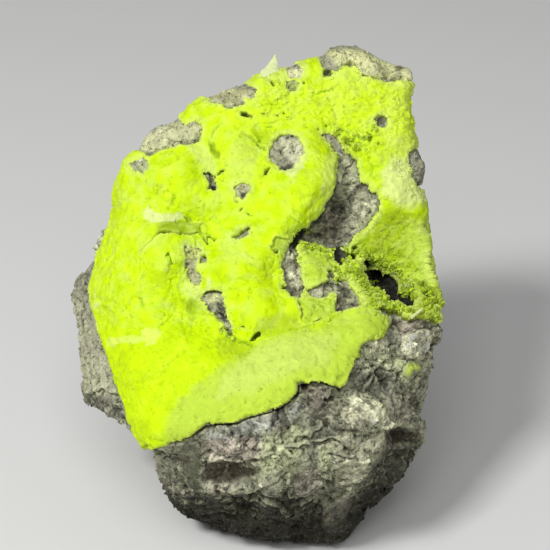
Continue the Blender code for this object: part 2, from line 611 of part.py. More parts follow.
def add_splinter(name, root, tip, lift, root_size, tip_size):
    """A slim four-sided crystal from a root cell to a tip cell, each size a width and a thickness."""
    cells = np.array([root, tip], float)
    ends = place(cells, front_height(cells) + lift)
    along = ends[1] - ends[0]
    across = np.cross(along, np.array(OUT))
    across /= np.linalg.norm(across)
    through = np.cross(along / np.linalg.norm(along), across)
    points = []
    for end, (width, thickness) in zip(ends, (root_size, tip_size)):
        for side, face in ((-1, -1), (1, -1), (1, 1), (-1, 1)):
            points.append(end + (across * side * width + through * face * thickness) * MM / 2)
    return mesh_object(name, points, SPLINTER_FACES, "pale_crystal")


def main():
    for old in list(bpy.data.objects):
        bpy.data.objects.remove(old)
    form = Form()
    add_rock(form)
    add_crust(form)
    add_lower_patch(form, rock_points(form))
    for name, measures in SPLINTERS.items():
        add_splinter(name, *measures)


main()
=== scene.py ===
"""Looks of the autunite specimen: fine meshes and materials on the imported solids.

Places on the front are read on a square grid of cells, column then row from the upper left corner, as the eye
point sees them. The grid's plane passes through FACE_MIDDLE and leans back by FACE_LEAN.
"""

import math
from collections import namedtuple

import bmesh
import bpy
import numpy as np
from mathutils import Matrix, Vector, noise
from mathutils.bvhtree import BVHTree


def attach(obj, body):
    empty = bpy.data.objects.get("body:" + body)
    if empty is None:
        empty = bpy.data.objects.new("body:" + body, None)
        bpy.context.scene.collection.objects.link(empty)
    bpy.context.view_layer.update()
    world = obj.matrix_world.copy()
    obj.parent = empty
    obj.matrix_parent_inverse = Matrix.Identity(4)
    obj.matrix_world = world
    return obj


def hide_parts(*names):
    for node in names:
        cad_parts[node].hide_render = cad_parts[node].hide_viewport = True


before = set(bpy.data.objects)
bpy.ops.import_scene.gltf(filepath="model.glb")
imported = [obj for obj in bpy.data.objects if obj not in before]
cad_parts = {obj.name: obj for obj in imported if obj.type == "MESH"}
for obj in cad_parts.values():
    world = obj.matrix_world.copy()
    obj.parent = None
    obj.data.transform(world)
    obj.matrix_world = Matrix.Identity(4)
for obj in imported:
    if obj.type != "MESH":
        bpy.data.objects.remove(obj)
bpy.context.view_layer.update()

# --- the grid and the eye, in metres ---
MM = 0.001
CELL = 64 * MM / 376  # the front is 64 mm and 376 cells wide
GRID_SIZE = 550  # cells each way
GRID_MIDDLE = (275, 275)
EYE_DISTANCE = 320 * MM
FACE_LEAN = math.radians(30)
FACE_MIDDLE = np.array((3.2, -9.6, 51.4)) * MM
RIGHT = np.array((1.0, 0, 0))
UP = np.array((0, math.sin(FACE_LEAN), math.cos(FACE_LEAN)))
OUT = np.array((0, -math.cos(FACE_LEAN), math.sin(FACE_LEAN)))
EYE = FACE_MIDDLE + OUT * EYE_DISTANCE

# How squarely a face has to meet the eye to carry what is authored in cells, from not at all to fully.
SHAPE_LOOK = (0.0, 0.2)
PAINT_LOOK = (-0.3, -0.05)

# --- mesh sizes ---
MESH_STEP = 0.235 * MM
ROCK_TRIANGLES = 185_000
CRUST_TRIANGLES = 172_000
SPARE_FACTOR = 2.0  # how strongly the spare parts of a mesh lose their triangles first
SPARE_BACK = -0.25  # the rock counts as its back where it meets the eye less squarely than this

# --- noise ---
SEED = 7
SEED_SHIFT = 17.3  # how far apart the patterns of two seeds are read
FACET_SHUFFLE = 7.3  # spreads the grains' middles, so that each facet leans its own way
TONE_SHUFFLE = 5.37  # and so that each grain has its own tone
LINE_WANDER = 2.0  # cells by which authored lines and outlines wander
LINE_WANDER_SIZE = 1.6 * MM

# --- the crust: lengths in metres, relief in millimetres ---
CRUST_HEIGHT = 1.55 * MM  # of the crust's outer face above the rock that it grew on
CRUST_ROOT = 0.25 * MM  # how far the crust's underside is sunk into the rock
LEAST_CRUST = 0.3  # millimetres of crust over the rock's high spots
RIM_STEPS = 4  # mesh steps from the crust's edge over which it rises to its full height
RIM_HEIGHT = 0.72  # the crust's height at its edge, as a share of its full height
RIM_VARIES = 0.5  # how much that height changes along the edge
RIM_CRUMBLE = 0.6  # how crumbly the crust is at its edge
CRUST_END = (-0.3, 0.0)  # how squarely a face meets the eye where the crust gives out on the far side
CRUST_END_WAVES = 0.35
CLIFF_JUT = 3.0  # how far the crust's growth turns to the eye beside the large bare hollow
CLIFF_REACH = (12, 34)  # cells from that hollow's edge over which this fades
PATCH_HEIGHT = 0.8 * MM
PATCH_EDGE = 0.2  # the patch's height at its edge, as a share of its full height

# Layers of a pattern: each one's height, size, octaves if a wave or width if a crack, and seed.
CRUST_FACETS = ((0.4, 2.8 * MM, 61), (0.22, 1.1 * MM, 62))
CRUST_WAVES = ((0.25, 5 * MM, 2, 7), (0.15, 1.6 * MM, 2, 14), (0.08, 0.7 * MM, 2, 10))
CRUST_CRACKS = ((-0.12, 5 * MM, 0.07, 9),)
ROCK_RIDGES = ((0.4, 6 * MM, 44), (0.16, 2.6 * MM, 45))
ROCK_WAVES = ((0.07, 0.5 * MM, 2, 4),)
ROCK_CRACKS = ((-0.8, 6 * MM, 0.09, 48),)

# Where the crust lies: a ray leaves the rock from a little below its surface and looks for the crust's solid.
COVER_START = 0.4 * MM
COVER_REACH = 1.8 * MM
COVER_SQUARE = 0.4  # how squarely the ray has to meet that solid's face
COVER_SOFTENING = 12  # rounds
COVER_EDGE = ((0.26, 2.4 * MM, 11), (0.2, 1.0 * MM, 12), (0.12, 0.5 * MM, 13))  # strength, size, seed
INNER_LOOK = 0.1  # how squarely a face has to meet the eye for the crust's inner part to be filled there
BARE_LOOK = -0.2  # and for the bare outlines to be taken out
BARE_EDGE = 1.2  # cells over which a bare outline sets in
BARE_ROUGHNESS = 1.3  # cells by which its edge is frayed

# --- the rock: relief in millimetres ---
BREAK_WAY = 0.85 * RIGHT + 0.45 * UP  # the way in which the rock's breaks are drawn out
ROCK_GRAINS = ((7.5 * MM, 0.34, 1), (3.2 * MM, 0.5, 2), (1.3 * MM, 0.5, 3))  # size, steepness, seed
ROCK_HOLLOWS = 0.9  # how deep the hollows go that its noise breaks out
HIGH_ROCK = 0.8  # the height above which the rock's relief is pressed flatter
HIGH_ROCK_SHARE = 0.3  # the share of the relief above that height that stays
CALM_RELIEF = 0.5  # how much of the relief goes where the rock is calm
CALM_TONES = 0.85  # and how much of the changes of tone
CALM_RISE = 0.7  # a bare outline that rises higher than this is calm
UNDER_CRUST_CALM = 0.7  # how much of the rock's relief goes under the crust
ROCK_SINK = 0.32 * MM  # of the rock that the crust hides
WINDOW_SILL = 5  # cells round a bare outline over which the rock rises to its height
WINDOW_CALM = 0.65  # how much of the rock's own relief goes where it rises by a millimetre
TRENCH_ROWS = (340, 380)  # from here down the rock falls back beside the crust
TRENCH_DEPTH = 1.3
TRENCH_EDGE = (0.04, 0.25)  # how near the crust is, as a share of the neighbourhood
TRENCH_BREAKS = (-0.9, 0.0)  # the noise that interrupts it
LEVEL_FOOT = (0.2 * MM, 2.5 * MM)  # heights over which the relief sets in above the flat base

# --- ledges, grooves and pits, in cells ---
LINE_TAPER = 0.16  # the share of a line over which its step or groove dies out at each end
STEP_WIDTH = 1.2  # cells either side of a line in which its step rises
STEP_FOOT = 3.2  # cells of groove along the foot of a step
FOOT_SHARE = 0.55  # the depth of that groove, as a share of the step's height
GROOVE_WALL = (0.3, 1.2)  # half widths from a groove's line over which its wall rises
PIT_WALL = (0.45, 1.15)  # the same for a pit
PIT_RIM_NOISE = 0.35  # how uneven a pit's rim is, as a share of its size
EDGE_LINES_FROM = (0.3, 0.6)  # millimetres of a ledge's height at which painted highlight on its lip and painted shade along its foot set in
EDGE_LINES_REACH = 6
LIP_RISE, LIP_FALL = (0.2, 1.0), (1.2, 2.8)  # cells from the line
FOOT_RISE, FOOT_FALL = (-0.2, 0.8), (1.0, 3.0)

# --- small crystals and grains ---
# The range of sizes, how flat, leaning and uneven the blocks are, and the range of their tones.
Blocks = namedtuple("Blocks", "sizes flatness lean jitter tones")
TABLET_COUNT = 4000
TABLETS = Blocks((0.2 * MM, 0.6 * MM), 0.3, 0.3, 0.1, (0.97, 1.06))
GRAIN_COUNT = 3000
GRAINS = Blocks((0.25 * MM, 0.8 * MM), 0.7, 1.5, 0.3, (0.8, 1.2))
DRUSE_TABLETS = Blocks((0.3, 0.75), 0.45, 1.2, 0.2, (0.55, 1.1))  # sizes as shares of the cluster's largest
DRUSE_SPREAD = 2.04  # cells round a cluster's middle
DRUSE_DEPTH = 4 * MM  # a tablet stands at most this far from its cluster's level
DRUSE_RISE = (-0.1, 0.5)  # millimetres
BLOCK_SINK = 0.1  # how far a block's middle is sunk, as a share of its size
BLOCK_CORNERS = (
    (-1, -1, -1), (1, -1, -1), (1, 1, -1), (-1, 1, -1), (-1, -1, 1), (1, -1, 1), (1, 1, 1), (-1, 1, 1),
)  # fmt: skip
BLOCK_FACES = ((3, 2, 1, 0), (4, 5, 6, 7), (0, 1, 5, 4), (1, 2, 6, 5), (2, 3, 7, 6), (3, 0, 4, 7))
TABLETS_EVERYWHERE = 0.12  # how likely a spot outside the crumbly parts is, beside one inside

LATH_RINGS = 6
LATH_SIDES = 6
LATH_UNEVENNESS = 0.3
LATH_TAPER = 0.55
SPIKE_SIDES = 10
SPIKE_UNEVENNESS = 0.3
SPIKE_FOOT = 8  # cells above its lowest ring over which the blade takes its own colour

# --- colours, linear ---
LIME = (0.62, 0.86, 0.003)
BRIGHT_LIME = (0.70, 0.92, 0.02)
DEEP_LIME = (0.52, 0.74, 0.004)
MOSS = (0.44, 0.62, 0.006)
PALE = (0.66, 0.79, 0.20)
BONE = (0.76, 0.82, 0.38)
BAND = (0.52, 0.70, 0.07)
OLIVE = (0.30, 0.41, 0.02)
SHADE = (0.05, 0.07, 0.01)
BRIGHT_PALE = (0.74, 0.88, 0.17)
BRIGHT_BONE = (0.80, 0.90, 0.32)
GREY = (0.34, 0.34, 0.235)
LIGHT_GREY = (0.60, 0.60, 0.40)
DARK_GREY = (0.13, 0.13, 0.10)
PINK_GREY = (0.46, 0.39, 0.32)
LILAC_GREY = (0.56, 0.56, 0.29)
PALE_STONE = (0.72, 0.73, 0.36)
STRAW_STONE = (0.66, 0.71, 0.24)
DIM_STONE = (0.21, 0.21, 0.11)
DIM_QUARTZ = (0.08, 0.084, 0.048)
# Painted shade, for the rock's foot and its right side, where little light falls.
DEEP_SHADE = (0.026, 0.024, 0.015)
GREEN_GREY = (0.42, 0.46, 0.24)
BLUE_GREY = (0.33, 0.345, 0.30)
BROWN = (0.068, 0.056, 0.036)
RUST = (0.12, 0.055, 0.03)
BLACK = (0.012, 0.012, 0.009)
SPIKE_COLOUR = (0.72, 0.80, 0.40)

# What is mixed in, by noise or by hollowness: the colour, its strength, and where it starts and is full. The
# clouds then have their noise's size, octaves and seed.
DEEP_CLOUDS = ((DEEP_LIME, 0.7, -0.2, 0.8, 6 * MM, 3, 15),)
MOSS_CLOUDS = ((MOSS, 0.5, 0.0, 0.9, 1.7 * MM, 3, 84), (MOSS, 0.3, 0.2, 0.8, 0.6 * MM, 2, 85))
BRIGHT_CLOUDS = ((BRIGHT_LIME, 0.7, 0.1, 0.8, 2.4 * MM, 3, 16),)
ROCK_CLOUDS = (
    (LIGHT_GREY, 0.7, 0.0, 0.9, 9 * MM, 3, 23),
    (DARK_GREY, 0.5, 0.0, -0.9, 9 * MM, 3, 23),
    (PINK_GREY, 0.5, 0.2, 0.7, 7 * MM, 2, 24),
    (GREEN_GREY, 0.4, 0.2, 0.7, 5 * MM, 2, 25),
)
STAINS = ((BROWN, 0.75, 0.3, 0.8, 2.6 * MM, 3, 26),)
# Painted shade in the crust's hollows and painted highlight on its ridges, by hollowness.
CRUST_HOLLOW_SHADE = (OLIVE, 0.75, 0.05, 0.25)
CRUST_RIDGE_HIGHLIGHT = (BRIGHT_PALE, 0.35, -0.04, -0.16)
CRUST_PIT_SHADE = (SHADE, 0.9, 0.25, 0.9)
# Painted shade in the rock's hollows and painted highlight on its ridges, by hollowness.
ROCK_HOLLOW_SHADE = (BLACK, 0.9, 0.04, 0.3)
ROCK_RIDGE_HIGHLIGHT = (LIGHT_GREY, 0.5, -0.06, -0.22)

RAGGED = 1.8  # cells by which the outlines of coloured areas wander
LEDGE_LIP_HIGHLIGHT = 0.6  # how strongly painted highlight goes on a ledge's lip
LEDGE_FOOT_SHADE = 0.85  # how strongly painted shade goes along a ledge's foot
RIM_PAINT = 0.5  # how strongly the crust's edge is painted pale
PALE_RIM = (1.5, 5)  # mesh steps from the crust's edge over which it pales beside the bare rock
WINDOW_ROWS = 330  # the row above which it does so
GRAIN_CONTRAST = 0.38
SEAM_DARKNESS = 0.35
SEAM_WIDTH = 0.16
DARK_FLECKS, PALE_FLECKS = (0.7, 0.3, 0.65), (0.4, -0.2, -0.7)  # strength, start and full
ROCK_BRIGHTNESS = 1.12
BRIGHTEST_ROCK = 0.85
ROCK_FOOT_SHADE_HEIGHTS = (20 * MM, 8 * MM)  # the heights between which painted shade darkens the rock's foot
ROCK_FOOT_SHADE_WAVES = 3 * MM
ROCK_FOOT_SHADE_STRENGTH = 0.95
GAP_SHADE = 0.9  # how black the painted shade in the gap beside the crust is

# --- finishes ---
# Changes of tone: the noise's size, detail and roughness, its range, and the tones at that range's ends.
CRUST_TONES = (
    (1.4 * MM, 3, 0.6, 0.3, 0.7, 0.93, 1.03),
    (0.35 * MM, 3, 0.6, 0.25, 0.75, 0.93, 1.03),
)
ROCK_TONES = (
    (2.6 * MM, 5, 0.6, 0.3, 0.7, 0.78, 1.2),
    (0.3 * MM, 3, 0.6, 0.25, 0.75, 0.82, 1.15),
    (0.7 * MM, 4, 0.7, 0.53, 0.64, 1.0, 0.3),
)
CRUST_SCATTER = (0.7 * MM, 0.8 * MM, 0.25 * MM)
CRUST_SCATTER_WEIGHT = 0.3
CRUST_SHINE = 0.08
CRUST_GLOSS = 0.14  # how much the roughness varies
ROCK_SHINE = 0.25
ROCK_GLOSS = 0.45  # how much smoother the shining grains are

# --- floor and light ---
FLOOR_SIZE = 6.0
FLOOR_COLOUR = (0.74, 0.74, 0.72)
WORLD_COLOUR = (0.95, 0.97, 1.0)
WORLD_STRENGTH = 0.2
# Each light's place, size and power.
LIGHTS = {"key": ((-0.34, -0.40, 0.64), 0.16, 4.5), "fill": ((0.0, -0.6, 0.78), 0.5, 3.0)}

# --- what is authored: places in cells, heights and depths in millimetres ---
# Steps: the height of the side to the right of the line's way, the cells it fades over, and the line.
LEDGES = {
    "upper_plate": (2.2, 34, [(338, 148), (335, 163), (336, 172), (332, 184), (329, 197), (321, 209),
        (313, 219), (304, 231), (294, 237)]),
    "middle_plate": (0.7, 14, [(279, 250), (281, 272), (283, 287), (290, 300), (297, 313), (299, 327)]),
    "lower_plates": (0.3, 12, [(376, 306), (360, 312), (344, 317), (333, 323), (318, 328), (300, 331),
        (287, 327)]),
    "horseshoe": (0.55, 12, [(147, 262), (151, 250), (159, 240), (175, 239), (196, 238), (205, 247)]),
    "horseshoe_side": (0.25, 16, [(149, 316), (145, 298), (144, 280), (146, 262), (152, 248)]),
    "slot_lip": (0.6, 9, [(232, 330), (228, 318), (223, 306), (221, 293), (214, 288)]),
    "upper_step": (0.15, 12, [(330, 108), (300, 108), (272, 105), (250, 110), (228, 107)]),
    "left_plate": (0.3, 8, [(222, 128), (214, 136), (211, 145), (216, 154)]),
    "olive_rim": (0.35, 7, [(268, 156), (260, 150), (252, 144), (244, 136)]),
    "upper_lobe": (0.25, 8, [(300, 122), (276, 124), (254, 128), (246, 134)]),
    "top_plate": (0.25, 8, [(344, 84), (330, 92), (316, 96), (300, 94)]),
    "facet_lip": (0.45, 8, [(292, 239), (276, 236), (270, 246), (277, 256)]),
    "hook_lip": (0.5, 8, [(352, 286), (338, 282), (322, 284), (308, 291)]),
    "curl": (0.55, 9, [(296, 252), (302, 243), (314, 246), (330, 251), (346, 258), (356, 272), (358, 288)]),
    "tongue": (0.5, 9, [(379, 318), (378, 300), (377, 287), (388, 285)]),
}  # fmt: skip

# Fracture steps of the bare rock, the same way.
ROCK_LEDGES = {
    "shelf": (1.6, 14, [(292, 470), (276, 478), (256, 490), (236, 492), (214, 484)]),
    "shoulder": (1.8, 16, [(386, 428), (387, 444), (377, 456), (366, 468), (352, 480), (344, 492)]),
    "band": (1.0, 12, [(352, 372), (372, 368), (395, 372), (402, 392)]),
    "facet": (1.0, 12, [(372, 398), (384, 414), (390, 424)]),
    "hood": (0.9, 10, [(206, 460), (224, 459), (246, 464), (262, 458)]),
    "block": (0.6, 9, [(200, 440), (206, 456), (202, 474), (208, 492)]),
    "nose": (0.6, 12, [(350, 548), (326, 540), (322, 520), (332, 508)]),
    "corner": (0.9, 10, [(392, 338), (408, 334), (424, 330), (440, 330)]),
    "left_shelf": (1.0, 10, [(120, 396), (104, 388), (84, 396)]),
    "window_rib": (0.5, 8, [(336, 184), (346, 196), (352, 208), (340, 222)]),
}  # fmt: skip

# Grooves: depth, half width in cells, and the line.
GROOVES = {
    "scar": (0.6, 2.4, [(244, 137), (252, 143), (259, 149), (264, 153), (268, 156)]),
    "crescent": (0.6, 3.4, [(212, 145), (215, 152), (219, 158), (224, 157)]),
    "twig_crack": (1.0, 1.3, [(265, 80), (269, 82), (272, 85), (275, 88)]),
    "pocket_crack": (1.3, 2.2, [(154, 243), (160, 238), (168, 238), (178, 240), (190, 239), (196, 236),
        (201, 239), (203, 244), (207, 247), (212, 243), (216, 246), (224, 240)]),
    "pocket_nick": (0.5, 1.6, [(183, 215), (187, 221), (189, 229)]),
    "hollow_line": (0.5, 2.4, [(145, 298), (147, 306), (146, 312)]),
    "left_line": (0.25, 1.8, [(93, 300), (107, 299), (123, 303)]),
    "right_crack": (0.4, 1.6, [(370, 158), (372, 167), (374, 176), (377, 185)]),
    "top_crack": (0.3, 1.6, [(328, 97), (330, 106), (334, 114), (337, 124)]),
    "arc": (0.4, 1.6, [(339, 132), (345, 133), (350, 136)]),
    "plate_crack": (1.0, 1.2, [(312, 326), (317, 325), (321, 323)]),
    "facet_crack": (0.5, 1.4, [(268, 244), (271, 249), (276, 253)]),
    "foot_crack": (0.5, 1.8, [(239, 343), (247, 346), (254, 350)]),
}  # fmt: skip

# Broad swells of the rock and its crust together: column, row, radius in cells, height.
FORM_SWELLS = (
    (162, 194, 40, -1.5), (168, 274, 32, -1.4), (166, 254, 20, -0.8), (252, 288, 36, -1.3),
    (262, 176, 44, -0.5), (318, 176, 20, 0.5),
)  # fmt: skip
# Hollows and swells of the crust, and of the bare rock, the same way.
CRUST_SWELLS = (
    (162, 196, 36, -0.4), (292, 250, 8, 0.5), (180, 231, 17, -0.5), (148, 190, 40, 0.16),
    (126, 262, 28, 0.12), (166, 276, 27, 0.14), (196, 310, 15, -0.9), (276, 325, 16, -0.7),
    (243, 352, 15, -0.7), (260, 143, 10, -0.8), (291, 86, 9, -0.6), (217, 152, 7, -0.5),
    (302, 205, 24, 0.2), (240, 160, 22, 0.16), (236, 128, 16, 0.2), (262, 122, 14, 0.16),
    (290, 128, 16, 0.16), (252, 285, 24, 0.16), (228, 262, 14, 0.16), (300, 255, 9, 0.12),
    (322, 262, 12, 0.12), (225, 205, 14, -0.4), (255, 232, 16, -0.4), (360, 105, 18, 0.16),
    (392, 118, 16, 0.12), (350, 62, 14, 0.12), (372, 172, 9, -0.5), (152, 318, 16, 0.12),
    (112, 322, 14, -0.3), (142, 372, 22, 0.16), (160, 412, 20, 0.12), (205, 232, 8, -0.5),
    (262, 100, 16, 0.12), (310, 98, 14, 0.12), (222, 100, 12, 0.12), (400, 185, 16, 0.08),
    (300, 305, 8, -0.3),
)  # fmt: skip
ROCK_SWELLS = (
    (345, 190, 34, 0.7), (230, 471, 24, -1.6), (402, 436, 16, -1.9), (232, 449, 24, 1.0),
    (266, 482, 26, 1.1), (192, 462, 16, 0.8), (250, 504, 26, -1.4), (362, 412, 24, 1.3),
    (350, 452, 22, 1.0), (378, 380, 22, -1.0), (336, 524, 18, 1.0), (396, 462, 10, 1.0), (388, 482, 8, 0.9),
    (398, 424, 7, 0.9), (403, 445, 6, 0.8), (315, 476, 12, -0.9), (412, 350, 14, 0.5), (98, 372, 18, 0.4),
    (92, 402, 14, -0.5), (278, 458, 20, 0.5), (330, 440, 7, -0.8), (434, 340, 10, -0.5),
    (300, 505, 20, 0.4), (348, 175, 10, 0.5), (362, 200, 12, 0.4),
)  # fmt: skip

# Pits: column, row, half length and half width in cells, turn in degrees, depth.
CRUST_PITS = (
    (247, 117, 6.4, 3.0, 18, 1.6), (327, 75, 4.8, 3.2, -10, 1.3), (214, 188, 3.8, 3.4, 0, 1.6),
    (210, 180, 2.4, 5.0, 20, 0.8), (222, 174, 4.6, 2.0, -35, 1.2), (217, 178, 2.4, 1.7, 0, 0.9),
    (243, 195, 3.4, 2.6, -30, 1.3), (240, 203, 3.0, 1.6, 20, 0.5), (268, 176, 4.6, 1.6, -58, 1.2),
    (244, 211, 3.2, 1.2, -20, 0.9), (252, 215, 2.4, 1.0, 10, 0.9), (242, 238, 5.4, 3.4, -30, 1.5),
    (249, 231, 4.0, 1.2, -55, 0.7), (203, 261, 3.4, 2.0, 0, 0.8), (210, 242, 4.6, 2.6, 10, 0.9),
    (240, 322, 1.8, 1.0, 0, 0.6), (247, 325, 2.2, 1.2, 10, 0.8), (257, 337, 7.0, 3.2, -42, 1.4),
    (237, 341, 2.2, 1.6, 0, 0.5), (226, 356, 2.6, 2.0, 20, 0.3), (262, 116, 2.6, 1.3, 0, 0.7),
    (277, 117, 2.2, 1.3, 30, 0.6), (284, 116, 1.8, 1.4, 0, 0.6), (288, 120, 2.2, 1.2, 35, 0.6),
    (265, 112, 1.4, 1.0, 0, 0.4), (269, 131, 5.0, 1.6, 0, 0.4), (307, 133, 1.3, 1.2, 0, 0.4),
    (316, 131, 2.6, 1.4, 0, 0.5), (303, 85, 1.2, 2.4, 10, 0.7), (278, 79, 2.4, 1.4, 40, 0.4),
    (293, 88, 4.4, 1.6, 8, 0.5), (291, 92, 1.4, 1.2, 0, 0.4), (358, 74, 1.8, 1.4, 0, 0.5),
    (377, 80, 1.4, 0.9, 0, 0.4), (357, 93, 1.3, 1.5, 0, 0.4), (326, 128, 2.6, 1.2, -30, 0.5),
    (381, 123, 3.4, 3.0, 0, 0.6), (370, 140, 2.2, 4.4, -20, 0.6), (377, 145, 1.6, 1.8, 0, 0.5),
    (350, 146, 2.4, 1.4, 0, 0.5), (143, 168, 4.4, 2.8, -15, 0.7), (138, 166, 2.6, 1.0, 40, 0.6),
    (276, 252, 1.8, 2.0, 0, 0.7), (328, 277, 3.2, 4.6, 0, 1.3), (384, 313, 2.6, 1.3, 30, 0.9),
    (313, 312, 1.4, 2.4, 20, 0.4), (325, 303, 1.6, 1.2, 0, 0.4), (311, 252, 1.8, 1.2, 0, 0.6),
    (318, 254, 1.4, 1.2, 0, 0.6), (324, 251, 1.4, 2.0, 0, 0.6), (353, 251, 3.4, 2.6, 20, 1.2),
    (384, 292, 3.4, 5.0, 10, 0.9), (425, 297, 3.6, 4.6, 0, 0.9), (416, 283, 1.8, 2.8, 0, 0.7),
    (437, 288, 1.4, 1.8, 0, 0.5), (300, 258, 1.6, 3.0, 0, 0.4), (198, 205, 2.0, 1.4, 0, 0.3),
    (247, 399, 2.0, 2.6, 10, 0.3), (153, 441, 3.0, 3.2, 0, 0.5), (337, 378, 4.0, 2.6, 0, 0.4),
    (238, 184, 1.4, 2.0, -30, 0.4), (223, 181, 2.4, 1.0, 10, 0.4), (163, 322, 1.6, 2.2, 0, 0.3),
)  # fmt: skip
ROCK_PITS = (
    (305, 386, 7.0, 4.0, 30, 1.3), (312, 391, 3.0, 1.8, 10, 0.7), (327, 423, 3.4, 5.0, 20, 1.5),
    (340, 423, 2.2, 2.0, 0, 0.8), (418, 341, 2.2, 5.4, 5, 1.4), (329, 399, 5.4, 2.8, -10, 1.1),
    (340, 390, 2.6, 3.4, 0, 0.8), (330, 482, 7.0, 5.0, 28, 1.8), (333, 502, 4.0, 2.4, 0, 1.2),
    (252, 436, 3.0, 1.4, -20, 0.7), (242, 437, 2.6, 1.4, -50, 0.7), (292, 452, 3.2, 1.8, 15, 0.9),
    (158, 454, 5.0, 2.4, 0, 1.4), (240, 466, 11.0, 1.4, -9, 1.0), (270, 486, 1.0, 1.8, 0, 0.5),
    (275, 459, 1.8, 1.4, 0, 0.6), (310, 404, 2.8, 1.8, 0, 0.7), (358, 436, 6.0, 1.2, 0, 0.6),
    (367, 436, 1.8, 1.6, 0, 0.7), (378, 444, 1.4, 1.2, 0, 0.6), (402, 394, 1.6, 1.4, 0, 0.6),
    (289, 430, 1.6, 1.8, 0, 0.6), (268, 466, 1.6, 2.0, 30, 0.5), (171, 484, 6.0, 2.4, -20, 0.6),
    (105, 342, 2.0, 0.9, 0, 0.6), (99, 345, 1.0, 1.4, 0, 0.6), (370, 347, 6.0, 2.6, 15, 0.9),
    (392, 345, 8.0, 1.2, -10, 0.6), (352, 376, 3.0, 4.0, 0, 0.8), (386, 363, 1.4, 5.0, 0, 0.5),
    (281, 152, 1.3, 1.3, 0, 0.6), (276, 151, 2.0, 1.4, 0, 0.4), (294, 151, 1.4, 1.3, 0, 0.6),
    (288, 169, 6.6, 2.6, -12, 1.4), (277, 166, 2.6, 1.4, 0, 0.5), (337, 258, 5.0, 9.0, 0, 1.4),
    (296, 240, 4.0, 1.8, -40, 1.4), (290, 250, 1.4, 4.0, 0, 1.2), (341, 310, 5.0, 2.0, -20, 0.8),
    (342, 306, 1.8, 1.4, 0, 0.5), (352, 306, 1.4, 1.4, 0, 0.5), (187, 262, 2.4, 1.8, 0, 0.6),
    (225, 318, 2.4, 6.0, -25, 0.9), (208, 293, 3.0, 1.0, -20, 0.6), (230, 100, 3.0, 3.6, 0, 0.6),
    (339, 212, 12.0, 5.0, 40, 0.8), (318, 236, 8.0, 3.0, 20, 0.7), (369, 212, 1.6, 3.0, 0, 0.8),
    (304, 227, 2.6, 4.0, 40, 0.8), (313, 214, 2.0, 4.0, 40, 0.9), (153, 151, 3.6, 1.8, -15, 0.5),
)  # fmt: skip

# Clusters of standing tablets: column, row, the largest tablet's width in millimetres, how many.
DRUSE = (
    (346, 250, 1.1, 12), (356, 252, 1.0, 10), (364, 256, 1.1, 12), (372, 259, 1.0, 10), (378, 264, 1.1, 12),
    (386, 268, 1.2, 12), (393, 271, 1.1, 10), (401, 275, 1.3, 14), (405, 281, 1.4, 14), (408, 287, 1.5, 14),
    (411, 292, 1.4, 12), (416, 297, 1.1, 9), (419, 283, 1.1, 10), (425, 287, 1.0, 9), (430, 292, 1.1, 10),
    (434, 299, 1.0, 9), (428, 303, 1.1, 9), (439, 306, 1.1, 10), (443, 314, 1.0, 9), (437, 318, 0.9, 9),
    (445, 319, 0.9, 8), (372, 284, 1.1, 10), (378, 291, 1.1, 10), (384, 298, 1.2, 10), (392, 304, 1.0, 9),
    (399, 307, 1.0, 9), (406, 311, 1.0, 9), (414, 313, 0.9, 8), (421, 315, 0.9, 8), (429, 318, 0.9, 9),
    (346, 262, 1.0, 10), (350, 270, 1.1, 12), (356, 276, 1.1, 12), (362, 282, 1.0, 10), (368, 291, 1.0, 9),
    (373, 301, 1.0, 9), (380, 308, 0.9, 8), (305, 245, 0.8, 9), (313, 246, 0.9, 10), (321, 250, 0.9, 10),
    (328, 253, 0.9, 9), (334, 268, 0.8, 8), (342, 275, 0.9, 9), (336, 280, 0.8, 8), (338, 132, 0.8, 9),
    (345, 141, 0.8, 8), (353, 137, 0.8, 8), (358, 147, 0.8, 8), (366, 137, 0.9, 9), (373, 127, 0.8, 8),
    (222, 329, 0.7, 8), (228, 334, 0.7, 8), (235, 339, 0.7, 8), (296, 232, 0.7, 6), (308, 231, 0.7, 6),
    (404, 293, 1.1, 9), (358, 270, 0.9, 8), (388, 310, 0.9, 8),
)  # fmt: skip

# Inside this outline the crust covers all but the bare outlines; outside it, the crust's own solid decides.
INNER_CRUST = [
    (110, 235), (150, 165), (205, 142), (215, 110), (260, 92), (400, 96), (402, 150), (398, 165),
    (412, 205), (428, 250), (434, 284), (418, 276), (396, 266), (372, 262), (360, 275), (372, 300),
    (376, 312), (350, 330), (345, 360), (300, 370), (285, 400), (240, 410), (190, 422), (150, 438),
    (135, 420), (110, 350), (96, 300), (100, 262),
]  # fmt: skip

